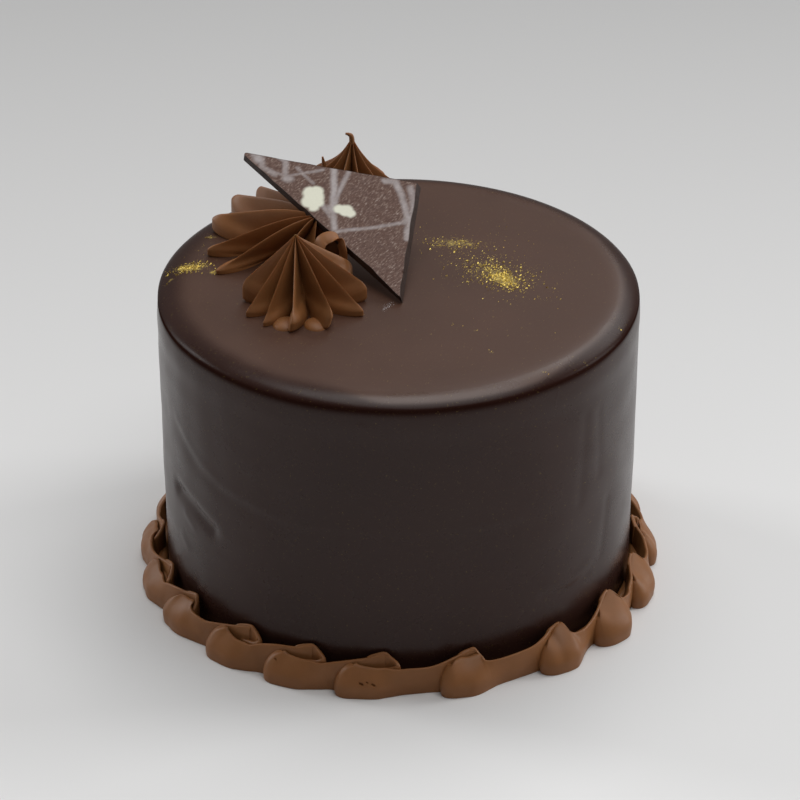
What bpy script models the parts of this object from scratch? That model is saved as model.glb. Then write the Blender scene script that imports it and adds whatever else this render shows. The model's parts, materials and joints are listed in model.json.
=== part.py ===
"""A chocolate truffle cake: a glazed drum, a piped ruffle border round its foot, and three piped
rosettes on top with a thin chocolate plaque leaning on them.

Metres, +Z up. The origin is the middle of the drum's flat underside. The front of the cake faces -Y.
"""

import math
import random

import bmesh
import bpy
from mathutils import Matrix, Vector

MM = 0.001
GAP = 0.3 * MM

# The glazed drum
CAKE_RADIUS = 76 * MM
CAKE_FOOT_RADIUS = 74.6 * MM
CAKE_HEIGHT = 102 * MM
SHOULDER_RADIUS = 5.5 * MM
LIP = 0.4 * MM
LIP_DROP = 9 * MM
LIP_END_DROP = 20 * MM
FOOT_ROUNDING = 1.5 * MM
FOOT_CORNER = 0.45 * MM
CAKE_STEPS = 52

# The ruffle border. Each wave in front is (degrees round the cake where it begins, how open its fold
# is, mm that the tongue before it reaches behind it, extra mm that its wall bulges).
WAVES_IN_FRONT = (
    (172, 0.5, 11, 0.0),
    (190, 0.8, 12, 0.0),
    (206, 0.1, 11, -0.2),
    (223.5, 1.0, 13.5, 0.3),
    (239, 0.5, 15, 0.0),
    (257, 0.1, 15, 0.0),
    (280.5, 0.0, 11.5, 0.4),
    (304.5, 0.0, 9, 2.0),
    (321.5, 0.0, 10.5, 2.8),
    (339.5, 0.2, 10.5, 0.8),
    (358, 0.6, 11, 0.0),
)
# Those behind are drawn between these limits.
WAVES_BEHIND = 8
PITCH_SPREAD = 0.16
OPENNESS_LIMITS = (0.0, 0.9)
OVERLAP_LIMITS = (9.5, 13.5)
BULGE_LIMITS = (-0.3, 0.8)
SWELL_LIMITS = (0.95, 1.05)
RUFFLE_SEED = 7

# One wave of the ribbon: the inner fold behind it, a stroke back, the round outer fold, the outer wall,
# then a tongue that narrows in to the drum. Each place is (the mark it is measured from, mm past that
# mark, foot radius, rim radius, rim height, mm that the rim leans along the border, thickness to the
# left and to the right), all in mm. A wave lies between the two tables by its openness.
CLOSED_WAVE = (
    ("peak_behind", -6.5, 77.6, 76.3, 11.4, 0.0, 1.45, 1.25),
    ("peak_behind", -3.6, 77.3, 76.0, 12.1, 0.0, 1.45, 1.25),
    ("peak_behind", 2.2, 77.2, 75.8, 12.8, -1.4, 1.25, 0.85),
    ("peak_behind", 4.5, 78.2, 76.5, 12.2, -3.4, 1.2, 0.8),
    ("peak_behind", 3.6, 79.3, 77.2, 11.6, -2.8, 1.2, 1.1),
    ("start", 4.4, 79.6, 77.7, 12.0, 0.3, 1.3, 1.3),
    ("start", 1.6, 80.0, 78.3, 10.8, 1.4, 1.0, 1.6),
    ("start", -0.1, 80.7, 78.9, 9.6, 2.7, 0.9, 1.9),
    ("start", 0.1, None, 79.3, 9.6, 2.7, 1.0, 2.0),
    ("start", 1.6, None, 79.1, 10.6, 1.5, 1.2, 2.0),
    ("start", 4.6, None, 78.5, 11.7, 0.4, 1.4, 1.9),
    ("peak_behind", -3.2, None, 77.9, 12.2, 0.0, 1.5, 1.9),
    ("peak_behind", 0.2, None, 77.9, 11.7, 0.0, 1.6, 1.8),
    ("peak_behind", 2.9, None, 78.4, 9.0, 0.0, 1.7, 1.7),
    ("next", -2.6, None, 77.9, 8.6, 0.0, 1.5, 1.5),
    ("next", 2.6, None, 77.0, 10.4, 0.0, 1.45, 1.35),
    ("peak", -3.6, 77.3, 76.0, 12.1, 0.0, 1.5, 1.3),
    ("peak", 0.0, 77.2, 75.9, 12.5, -0.7, 1.4, 1.1),
)
OPEN_WAVE = CLOSED_WAVE[:4] + (
    ("peak_behind", 3.6, 78.8, 77.0, 11.8, -2.8, 0.9, 1.1),
    ("start", 4.4, 78.6, 76.8, 12.0, 0.3, 0.8, 1.3),
    ("start", 1.6, 79.0, 77.6, 10.4, 1.4, 0.8, 1.5),
    ("start", -0.1, 80.2, 79.0, 8.6, 2.7, 0.8, 1.9),
    ("start", 0.1, None, 80.0, 8.4, 2.7, 0.8, 2.0),
    ("start", 1.6, None, 80.4, 8.6, 1.5, 0.8, 2.0),
    ("start", 4.6, None, 80.2, 8.8, 0.4, 0.9, 1.9),
    ("peak_behind", -3.2, None, 79.5, 8.8, 0.0, 1.1, 1.9),
    ("peak_behind", 0.2, None, 79.2, 8.8, 0.0, 1.3, 1.8),
    ("peak_behind", 2.9, None, 78.8, 8.7, 0.0, 1.7, 1.7),
) + CLOSED_WAVE[14:]
# The foot of the outer wall where the tables leave it out: (mm past the wave's start, radius in mm).
WALL_FOOT = ((0.1, 81.7), (1.6, 82.4), (9.0, 82.6), (14.0, 80.8), (19.0, 79.3), (25.0, 78.7))
BULGE_MIDDLE = 8.0
BULGE_REACH = 10.0
RIM_SHARE_OF_BULGE = 0.5
# A wave is built as two pieces that overlap at the outer fold: the places that each one takes, and by
# how much it is slimmer, so that their skins don't lie on each other.
WAVE_PIECES = {"fold": (slice(0, 11), 0.06), "wall": (slice(8, 18), 0.0)}
END_WIDTH = 0.5
END_DROP = 1.5
BORDER_RADIUS = 80.0
TOP_EDGE_HALF = 0.6
FOOT_SHARE = 0.6
WIDEST_SHARE = 0.42
LEAN_POWER = 1.7

# The plaque: a corner on the cake, its two legs, and how it lies
PLAQUE_TIP = (1.3 * MM, -12.9 * MM)
PLAQUE_THICKNESS = 2.4 * MM
PLAQUE_RIGHT_EDGE = 48.2 * MM
PLAQUE_TOP_EDGE = 58.3 * MM
PLAQUE_CORNER = math.radians(95.6)
PLAQUE_SLOPE = math.radians(21.5)
PLAQUE_ROLL = math.radians(0.5)
PLAQUE_TURN = math.radians(-6.8)
PLAQUE_BLUNT_TIP = (3.0 * MM, 0.4 * MM)
PLAQUE_CUT_SLANT = 1.1 * MM

# The rosettes: each rib is (degrees round the rosette, reach in mm, height of its end in mm)
ROSETTES = {
    "rosette_front": {
        "place": (-29.2, -12.4),
        "height": 24.3,
        "lean": (-3.4, 0.6),
        "sag": 0.4,
        "sharpness": 2.4,
        "valley": 0.8,
        "hook": (0.0, 0.0),
        "ribs": (
            (3, 19.4, 7.0),
            (50, 19.0, 8.0),
            (92, 18.5, 7.0),
            (134, 18.8, 7.0),
            (178, 19.6, 8.2),
            (208, 20.6, 2.6),
            (233, 19.0, 2.2),
            (258, 20.4, 5.2),
            (298, 19.4, 6.2),
            (334, 20.4, 3.2),
        ),
    },
    "rosette_left": {
        "place": (-37.0, 26.0),
        "height": 15.0,
        "lean": (11.5, -7.5),
        "sag": -2.0,
        "sharpness": 1.8,
        "valley": 1.15,
        "hook": (0.0, 0.0),
        "ribs": (
            (10, 23.5, 6.0),
            (45, 23.5, 7.0),
            (78, 24.5, 8.0),
            (110, 26.0, 10.4),
            (127, 28.0, 8.2),
            (156, 25.0, 6.8),
            (198, 25.0, 4.2),
            (224, 28.6, 2.6),
            (262, 22.0, 3.0),
            (300, 20.0, 4.0),
            (331, 23.0, 6.5),
        ),
    },
    "rosette_back": {
        "place": (-15.7, 53.2),
        "height": 25.8,
        "lean": (0.6, 0.4),
        "sag": 3.1,
        "sharpness": 2.2,
        "valley": 0.85,
        "hook": (-1.9, 0.0),
        "ribs": (
            (8, 18.6, 5.0),
            (49, 17.6, 5.9),
            (88, 16.6, 5.0),
            (125, 16.0, 12.0),
            (166, 19.0, 5.6),
            (207, 19.4, 5.0),
            (248, 19.6, 5.4),
            (289, 19.4, 4.6),
            (329, 19.0, 5.4),
        ),
    },
}
# Rings of a rosette from its apex to its foot, as shares: how far out the ridge is, how far it has
# dropped to the rib's end height, how much of the end's height is left, then the valley between ribs:
# how far out it is and its share of the height.
ROSETTE_RINGS = (
    (0.09, 0.10, 1.00, 0.04, 0.84),
    (0.27, 0.28, 1.00, 0.11, 0.62),
    (0.50, 0.52, 1.00, 0.20, 0.42),
    (0.73, 0.76, 1.00, 0.32, 0.24),
    (0.91, 0.95, 0.93, 0.43, 0.11),
    (1.00, 1.00, 0.52, 0.52, 0.04),
    (0.98, 1.00, 0.17, 0.56, 0.012),
    (0.88, 1.00, 0.00, 0.52, 0.00),
)
RIB_SHARES = (0.0, 0.13, 0.3, 0.5)
# From this share of the reach on, the ribs widen to the foot's sharpness.
FOOT_FROM = 0.7
FOOT_SHARPNESS = 0.9
WIDEST_VALLEY = 0.86
# Makes a rosette's sag the mm that its ridges lie lower where they sag most, a third of the way out.
SAG_SCALE = 6.75
HOOK_REACH = 0.1
ENVELOPE_MARGIN = 0.5
ENVELOPE_RISE = 1.04

SHARP_ANGLE = math.radians(40)

MATERIALS = {
    "glaze": ((0.040, 0.024, 0.019), 0.34),
    "buttercream": ((0.135, 0.060, 0.030), 0.55),
    "plaque": ((0.055, 0.031, 0.026), 0.38),
}


def clear_scene():
    for old in list(bpy.data.objects):
        bpy.data.objects.remove(old)


def material(name):
    colour, roughness = MATERIALS[name]
    made = bpy.data.materials.get(name) or bpy.data.materials.new(name)
    made.use_nodes = True
    shader = made.node_tree.nodes["Principled BSDF"]
    shader.inputs["Base Color"].default_value = (*colour, 1)
    shader.inputs["Roughness"].default_value = roughness
    shader.inputs["Metallic"].default_value = 0
    return made


def object_from_bmesh(name, bm, look, collection):
    mesh = bpy.data.meshes.new(name)
    bmesh.ops.recalc_face_normals(bm, faces=bm.faces)
    bm.to_mesh(mesh)
    bm.free()
    mesh.materials.append(material(look))
    mesh.shade_smooth()
    mesh.set_sharp_from_angle(angle=SHARP_ANGLE)
    made = bpy.data.objects.new(name, mesh)
    collection.objects.link(made)
    return made


def skin(bm, rings):
    """Quads between neighbouring rings, with the first and last ring filled."""
    count = len(rings[0])
    for first, second in zip(rings, rings[1:]):
        for i in range(count):
            j = (i + 1) % count
            bm.faces.new((first[i], first[j], second[j], second[i]))
    bm.faces.new(rings[0])
    bm.faces.new(rings[-1])


def apply_boolean(target, operation, solver, other=None, group=None):
    """Joins or cuts target, applies the result, and leaves no modifier behind."""
    modifier = target.modifiers.new("boolean", "BOOLEAN")
    modifier.operation = operation
    modifier.solver = solver
    if group:
        modifier.operand_type = "COLLECTION"
        modifier.collection = group
    else:
        modifier.object = other
    bpy.context.view_layer.update()
    graph = bpy.context.evaluated_depsgraph_get()
    result = bpy.data.meshes.new_from_object(target.evaluated_get(graph))
    target.modifiers.remove(modifier)
    old = target.data
    target.data = result
    bpy.data.meshes.remove(old)
    result.name = target.name


def remove_all(objects):
    for unwanted in list(objects):
        bpy.data.objects.remove(unwanted)


def keep_outer_skin(joined):
    """Drops loose scraps, and fills the hollows that a union sealed, by keeping the largest skin."""
    bm = bmesh.new()
    bm.from_mesh(joined.data)
    bmesh.ops.triangulate(bm, faces=bm.faces)
    left = set(bm.faces)
    skins = []
    while left:
        front = [left.pop()]
        found = list(front)
        while front:
            face = front.pop()
            plain_edges = [edge for edge in face.edges if len(edge.link_faces) == 2]
            beside = {other for edge in plain_edges for other in edge.link_faces} & left
            left -= beside
            front.extend(beside)
            found.extend(beside)
        skins.append(found)
    skins.sort(key=len)
    unwanted = [face for found in skins[:-1] for face in found]
    bmesh.ops.delete(bm, geom=unwanted, context="FACES")
    bm.to_mesh(joined.data)
    bm.free()


# The drum

def drum_profile():
    """From the axis at the top, over the shoulder and lip, down the side and back to the axis."""
    top_flat = CAKE_RADIUS - SHOULDER_RADIUS
    points = [(0.0, CAKE_HEIGHT), (top_flat * 0.5, CAKE_HEIGHT)]
    arc_steps = 6
    for step in range(arc_steps + 1):
        turn = math.pi / 2 * (1 - step / arc_steps)
        points.append((
            top_flat + SHOULDER_RADIUS * math.cos(turn),
            CAKE_HEIGHT - SHOULDER_RADIUS * (1 - math.sin(turn)),
        ))
    points.append((CAKE_RADIUS + LIP, CAKE_HEIGHT - LIP_DROP))
    side_top = CAKE_HEIGHT - LIP_END_DROP
    side_steps = 4
    for step in range(side_steps + 1):
        down = step / side_steps
        points.append((
            CAKE_RADIUS + (CAKE_FOOT_RADIUS - CAKE_RADIUS) * down,
            side_top + (FOOT_ROUNDING - side_top) * down,
        ))
    points.append((CAKE_FOOT_RADIUS - FOOT_CORNER, FOOT_CORNER))
    points.append((CAKE_FOOT_RADIUS - FOOT_ROUNDING, 0.0))
    points.append((0.0, 0.0))
    return points


def build_cake(collection):
    points = drum_profile()
    mesh = bpy.data.meshes.new("cake")
    edges = [(i, i + 1) for i in range(len(points) - 1)]
    mesh.from_pydata([(x, 0, z) for x, z in points], edges, [])
    mesh.materials.append(material("glaze"))
    cake = bpy.data.objects.new("cake", mesh)
    collection.objects.link(cake)
    screw = cake.modifiers.new("turn", "SCREW")
    screw.axis = "Z"
    screw.steps = CAKE_STEPS
    screw.render_steps = CAKE_STEPS
    screw.use_merge_vertices = True
    screw.merge_threshold = 0.00005
    screw.use_smooth_shade = True
    return cake


# The ruffle border

def all_waves():
    """(start angle, openness, overlap, bulge) of every wave: those in front as seen, the rest drawn."""
    draw = random.Random(RUFFLE_SEED)
    reached = WAVES_IN_FRONT[-1][0]
    left_over = WAVES_IN_FRONT[0][0] + 360 - reached
    weights = [1 + draw.uniform(-PITCH_SPREAD, PITCH_SPREAD) for _ in range(WAVES_BEHIND + 1)]
    waves = list(WAVES_IN_FRONT)
    for weight in weights[:-1]:
        reached += weight / sum(weights) * left_over
        drawn = (draw.uniform(*ends) for ends in (OPENNESS_LIMITS, OVERLAP_LIMITS, BULGE_LIMITS))
        waves.append((reached, *drawn))
    return waves


def wall_foot(along, bulge):
    """Radius of the outer wall's foot, this many mm past the wave's start."""
    radius = WALL_FOOT[-1][1]
    for (low, low_radius), (high, high_radius) in zip(WALL_FOOT, WALL_FOOT[1:]):
        if along < high:
            share = max(0.0, (along - low) / (high - low))
            radius = low_radius + (high_radius - low_radius) * share
            break
    return radius + bulge * max(0.0, 1 - ((along - BULGE_MIDDLE) / BULGE_REACH) ** 2)


def wave_path(pitch, wave, overlap, swell):
    """The ribbon's places for one wave, from the inner fold behind it to the one behind the next."""
    _, openness, peak_behind, bulge = wave
    marks = {"start": 0, "peak_behind": peak_behind, "next": pitch, "peak": pitch + overlap}
    path = []
    for closed, opened in zip(CLOSED_WAVE, OPEN_WAVE):
        mark, along, foot, *closed_shape = closed
        along += marks[mark]
        rim, height, lean, left, right = (
            low + (high - low) * openness for low, high in zip(closed_shape, opened[3:])
        )
        if foot is None:
            foot = wall_foot(along, bulge)
            rim += RIM_SHARE_OF_BULGE * (foot - wall_foot(along, 0))
        else:
            foot += (opened[2] - foot) * openness
        if mark in ("start", "next"):
            height *= swell
        path.append((along, foot, rim, height, lean, left, right))
    return path


def plan_point(start, along, radius):
    """A place past a wave's start, along the border, as x and y in mm."""
    angle = math.radians(start) + along / BORDER_RADIUS
    return Vector((radius * math.cos(angle), radius * math.sin(angle)))


def ribbon_section(bm, place, rim, ahead, height, left, right):
    """One upright slice of the ribbon, from its foot on the cake's level to its leaning rim."""
    rightward = Vector((ahead.y, -ahead.x))
    top_edge = min(TOP_EDGE_HALF, left, right)
    outline = (
        (-FOOT_SHARE * left, 0.0),
        (FOOT_SHARE * right, 0.0),
        (right, WIDEST_SHARE * height),
        (top_edge, height),
        (-top_edge, height),
    )
    ring = []
    for across, up in outline:
        spot = place + rightward * across + (rim - place) * (up / height) ** LEAN_POWER
        ring.append(bm.verts.new((spot.x * MM, spot.y * MM, up * MM)))
    return ring


def build_wave_piece(name, start, path, slimmer, collection):
    """Lofts the ribbon along its places. Both ends are drawn in, to lie inside the next piece."""
    places = [plan_point(start, along, radius) for along, radius, *_ in path]
    bm = bmesh.new()
    rings = []
    for i, (along, _, rim_radius, height, lean, left, right) in enumerate(path):
        before = places[max(i - 1, 0)]
        after = places[min(i + 1, len(places) - 1)]
        ahead = (after - before).normalized()
        rim = plan_point(start, along + lean, rim_radius)
        is_end = i in (0, len(path) - 1)
        width = END_WIDTH if is_end else 1
        height -= END_DROP if is_end else slimmer
        half_widths = ((left - slimmer) * width, (right - slimmer) * width)
        rings.append(ribbon_section(bm, places[i], rim, ahead, height, *half_widths))
    skin(bm, rings)
    return object_from_bmesh(name, bm, "buttercream", collection)


def build_ruffle(collection, helpers):
    draw = random.Random(RUFFLE_SEED + 1)
    waves = all_waves()
    made = []
    for i, wave in enumerate(waves):
        start = wave[0]
        next_start, _, overlap, _ = waves[(i + 1) % len(waves)]
        pitch = math.radians((next_start - start) % 360) * BORDER_RADIUS
        path = wave_path(pitch, wave, overlap, draw.uniform(*SWELL_LIMITS))
        for piece, (places, slimmer) in WAVE_PIECES.items():
            group = helpers if made else collection
            name = f"{piece}_{i}" if made else "ruffle_border"
            made.append(build_wave_piece(name, start, path[places], slimmer, group))
    apply_boolean(made[0], "UNION", "MANIFOLD", group=helpers)
    remove_all(helpers.objects)
    keep_outer_skin(made[0])


# The rosettes

def between_ribs(ribs):
    """(angle, reach, end height, distance from the nearest ridge as a share) round the rosette."""
    samples = []
    for i, (angle, reach, end) in enumerate(ribs):
        next_angle, next_reach, next_end = ribs[(i + 1) % len(ribs)]
        span = (next_angle - angle) % 360
        shares = list(RIB_SHARES) + [1 - share for share in reversed(RIB_SHARES[1:-1])]
        for share in shares:
            near = min(share, 1 - share)
            samples.append((
                math.radians(angle + span * share),
                reach + (next_reach - reach) * share,
                end + (next_end - end) * share,
                near,
            ))
    return samples


def rosette_spot(shape, ring, sample):
    """A point on a rosette's skin, in mm from the middle of its foot."""
    ridge_out, drop, end_share, valley_out, valley_up = ring
    angle, reach, end, near = sample
    height = shape["height"]
    foot_blend = max(0.0, (ridge_out - FOOT_FROM) / (1 - FOOT_FROM)) if drop < 1 else 1.0
    sharpness = shape["sharpness"] + (FOOT_SHARPNESS - shape["sharpness"]) * foot_blend
    fin = (1 - 2 * near) ** sharpness
    ridge_up = (height + (end - height) * drop) * end_share
    ridge_up -= shape["sag"] * SAG_SCALE * ridge_out * (1 - ridge_out) ** 2 * (drop < 1)
    valley_share = min(valley_out * shape["valley"], WIDEST_VALLEY)
    out = reach * (valley_share + (ridge_out - valley_share) * fin)
    up = valley_up * height * (1 - fin) + ridge_up * fin
    lean = Vector(shape["lean"]) * (1 - ridge_out) * (drop < 1)
    lean += Vector(shape["hook"]) * max(0.0, 1 - ridge_out / HOOK_REACH)
    return Vector((out * math.cos(angle) + lean.x, out * math.sin(angle) + lean.y, up))


def build_rosette(name, shape, collection, envelope=False):
    """A lofted star of ribs. As an envelope it is the plain cone round the ribs, a little larger."""
    margin = ENVELOPE_MARGIN if envelope else 0
    samples = between_ribs(shape["ribs"])
    base = Vector((*shape["place"], 0)) * MM
    base.z = CAKE_HEIGHT + GAP
    bm = bmesh.new()
    rings = []
    for ring in ROSETTE_RINGS:
        spots = []
        for angle, reach, end, near in samples:
            sample = (angle, reach + margin, end + margin, 0 if envelope else near)
            spot = rosette_spot(shape, ring, sample)
            if envelope:
                spot.z = spot.z * ENVELOPE_RISE - GAP / MM
            spots.append(bm.verts.new(base + spot * MM))
        rings.append(spots)
    apex_lean = Vector(shape["lean"]) + Vector(shape["hook"])
    apex = bm.verts.new(base + Vector((*apex_lean, shape["height"] + margin)) * MM)
    foot = bm.verts.new(base + Vector((0, 0, -GAP / MM if envelope else 0)) * MM)
    for first, second in zip(rings, rings[1:]):
        for i in range(len(samples)):
            j = (i + 1) % len(samples)
            bm.faces.new((first[i], first[j], second[j], second[i]))
    for i in range(len(samples)):
        j = (i + 1) % len(samples)
        bm.faces.new((apex, rings[0][j], rings[0][i]))
        bm.faces.new((foot, rings[-1][i], rings[-1][j]))
    return object_from_bmesh(name, bm, "buttercream", collection)


# The plaque

def plaque_outline(grow=0.0):
    """The sheet's corners in its own plane, from the tip that stands on the cake."""
    right_way = Vector((math.sin(-PLAQUE_TURN), math.cos(PLAQUE_TURN)))
    upper_angle = math.pi / 2 + PLAQUE_TURN + math.pi - PLAQUE_CORNER
    upper_way = Vector((math.cos(upper_angle), math.sin(upper_angle)))
    tip = Vector((0, 0))
    corner = right_way * PLAQUE_RIGHT_EDGE
    far = corner + upper_way * PLAQUE_TOP_EDGE
    long_way = (tip - far).normalized()
    blunt_length, blunt_inset = PLAQUE_BLUNT_TIP
    blunt = far + long_way * blunt_length - upper_way * blunt_inset
    middle = (tip + corner + far) / 3
    return [spot + (spot - middle).normalized() * grow for spot in (tip, corner, far, blunt)]


def build_plaque(name, collection, grow=0.0):
    bm = bmesh.new()
    outline = plaque_outline(grow)
    top = [bm.verts.new((spot.x, spot.y, PLAQUE_THICKNESS + grow)) for spot in outline]
    low = [bm.verts.new((spot.x, spot.y, -grow)) for spot in outline]
    for vertex in low[:2]:
        vertex.co.x += PLAQUE_CUT_SLANT
    skin(bm, [low, top])
    plaque = object_from_bmesh(name, bm, "plaque", collection)
    turn = Matrix.Rotation(PLAQUE_ROLL, 4, "Y") @ Matrix.Rotation(PLAQUE_SLOPE, 4, "X")
    plaque.matrix_world = Matrix.Translation((*PLAQUE_TIP, CAKE_HEIGHT + GAP)) @ turn
    bpy.context.view_layer.update()
    lowest = min((plaque.matrix_world @ vertex.co).z for vertex in plaque.data.vertices)
    if not grow:
        plaque.location.z += CAKE_HEIGHT + GAP - lowest
    return plaque


def build_toppings(collection, helpers):
    for name, shape in ROSETTES.items():
        build_rosette(name, shape, collection)
    build_plaque("plaque", collection)
    left = bpy.data.objects["rosette_left"]
    for name in ("rosette_front", "rosette_back"):
        cutter = build_rosette(f"round_{name}", ROSETTES[name], helpers, envelope=True)
        apply_boolean(left, "DIFFERENCE", "EXACT", other=cutter)
    clearance = build_plaque("round_plaque", helpers, grow=2 * GAP)
    apply_boolean(left, "DIFFERENCE", "EXACT", other=clearance)
    remove_all(helpers.objects)


def main():
    clear_scene()
    parts = bpy.data.collections.new("chocolate truffle cake")
    helpers = bpy.data.collections.new("helpers")
    for group in (parts, helpers):
        bpy.context.scene.collection.children.link(group)
    build_cake(parts)
    build_ruffle(parts, helpers)
    build_toppings(parts, helpers)


main()
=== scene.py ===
"""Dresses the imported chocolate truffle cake: smooth piped buttercream, a poured glaze with its small
faults, a marbled chocolate plaque and gold dust. Lengths in the tables are in mm, in the CAD's frame.
"""

import json
import math
import random

import bmesh
import bpy
import numpy as np
from mathutils import Matrix, Vector

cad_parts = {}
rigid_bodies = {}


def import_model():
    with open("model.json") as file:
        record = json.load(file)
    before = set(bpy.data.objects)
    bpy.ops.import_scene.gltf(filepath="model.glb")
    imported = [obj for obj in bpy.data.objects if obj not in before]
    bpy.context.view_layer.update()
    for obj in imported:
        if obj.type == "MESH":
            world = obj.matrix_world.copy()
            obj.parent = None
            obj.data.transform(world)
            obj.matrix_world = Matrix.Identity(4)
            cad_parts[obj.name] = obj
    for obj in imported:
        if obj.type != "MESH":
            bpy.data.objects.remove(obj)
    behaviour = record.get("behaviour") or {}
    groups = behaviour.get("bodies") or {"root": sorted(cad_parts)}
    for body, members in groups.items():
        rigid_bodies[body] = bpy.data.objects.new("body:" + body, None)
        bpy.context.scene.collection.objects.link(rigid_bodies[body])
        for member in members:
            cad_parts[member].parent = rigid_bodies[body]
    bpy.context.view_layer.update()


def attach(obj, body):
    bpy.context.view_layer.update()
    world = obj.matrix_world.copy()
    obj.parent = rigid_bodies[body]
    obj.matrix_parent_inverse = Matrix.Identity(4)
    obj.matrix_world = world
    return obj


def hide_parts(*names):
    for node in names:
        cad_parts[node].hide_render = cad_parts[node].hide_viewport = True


MM = 0.001
GAP = 0.3

# The drum, whose top meets its side in an elliptical shoulder above a faint lip
CAKE_RADIUS = 76.0
CAKE_FOOT_RADIUS = 74.6
CAKE_HEIGHT = 102.0
TOP_RISE = 0.15
SHOULDER_WIDTH = 7.0
SHOULDER_DEPTH = 3.1
LIP = 0.4
LIP_DROP = 9.0
LIP_HALF = 4.5
LIP_END_DROP = 20.0
FOOT_ROUNDING = 1.5
INNERMOST_RADIUS = 0.6
UNDERSIDE_RADII = (60.0, 30.0, INNERMOST_RADIUS)
DRUM_SIDES = 480
TOP_STEPS = 42
SHOULDER_STEPS = 20
SIDE_STEPS = 138
FOOT_STEPS = 5
# Its top droops towards the front rim, from this radius on
DROOP = 0.7
DROOP_FROM = 60.0
DROOP_REACH = 16.0
# Each layer of unevenness is (mm high, mm from bump to bump, seed)
TOP_UNEVENNESS = ((0.05, 60, 11),)
SIDE_UNEVENNESS = ((0.22, 38, 3), (0.06, 12, 4))
# The side's faults begin this far under the top: (mm wide, mm deep, places as degrees round and height)
RELIEF_DROP = 1.0
RELIEF_REACH = 4.0
CREASES = (
    (2.2, -0.17, ((204, 70.5), (214, 63.5), (224, 59), (244, 55.5), (259, 56.5), (278, 56.5), (299, 55.5))),
    (3.6, 0.20, ((205, 68.0), (214, 60.5), (226, 56), (244, 52.5), (259, 53.5), (278, 53.5), (297, 52.5))),
    (2.9, 1.1, ((203, 44.5), (212, 43.0), (219, 40.5))),
    (2.0, -0.19, ((205, 28), (207, 26.5))),
    (1.5, -0.17, ((207, 38.0), (211, 36.0))),
    (1.5, 0.17, ((307, 23.5), (316, 21.5), (323, 23))),
    (2.2, -0.14, ((308, 26.5), (316, 24.5), (323, 26))),
    (2.2, 0.13, ((319.6, 82), (319, 66), (318.6, 52))),
    (1.9, 0.10, ((325, 81), (326, 58))),
    (2.2, 0.13, ((330.7, 45), (328.4, 27))),
    (1.0, -0.17, ((261, 93.7), (262.5, 93.4))),
    (0.9, 0.17, ((266.6, 98.8), (268, 99.2))),
)
# Painted shade: the top's colour turns to the side's darker, shaded colour at this radius in front
COLOUR_EDGE = 73.9
COLOUR_EDGE_HALF = 0.9
# To the left and the right the painted shade begins further in: (from degrees, over degrees, mm further in,
# mm softer)
COLOUR_EDGE_LEFT = (2, 18, 5.2, 2.9)
COLOUR_EDGE_RIGHT = (33, 22, 3.0, 0.9)
# Behind, the left's edge gives way to the right's: (from degrees, over degrees)
COLOUR_EDGE_BEHIND = (140, 38)
# The glaze is glossier from this radius on, and a painted dark reflection line runs round it this far under
# the top
POLISH_START = 66.0
POLISH_LENGTH = 4.0
LINE_DROP = 2.9
LINE_HALF = 1.6

# The ruffle border: (degrees where a wave begins, openness, mm of overlap, extra bulge, dome)
WAVES_IN_FRONT = (
    (172, 0.5, 11, 0.0, 1.0),
    (190, 0.8, 12, 0.0, 1.3),
    (206, 0.35, 11, -0.2, 1.4),
    (223.5, 1.0, 13.5, 0.3, 1.4),
    (240, 0.9, 14, 0.0, 1.3),
    (257, 0.85, 14.5, 0.0, 1.35),
    (280.5, 0.35, 11.5, 0.4, 0.8),
    (304.5, 0.0, 10.3, 2.0, 0.4),
    (321.5, 0.0, 12.6, 2.8, 0.4),
    (339.5, 0.0, 12.3, 0.8, 0.4),
    (358, 0.6, 11, 0.0, 0.8),
)
WAVES_BEHIND = 8
PITCH_SPREAD = 0.16
OPENNESS_LIMITS = (0.0, 0.9)
OVERLAP_LIMITS = (9.5, 13.5)
BULGE_LIMITS = (-0.3, 0.8)
SWELL_LIMITS = (0.95, 1.05)
DOME_BEHIND = 1.0
RUFFLE_SEED = 7
BORDER_RADIUS = 80.0
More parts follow.
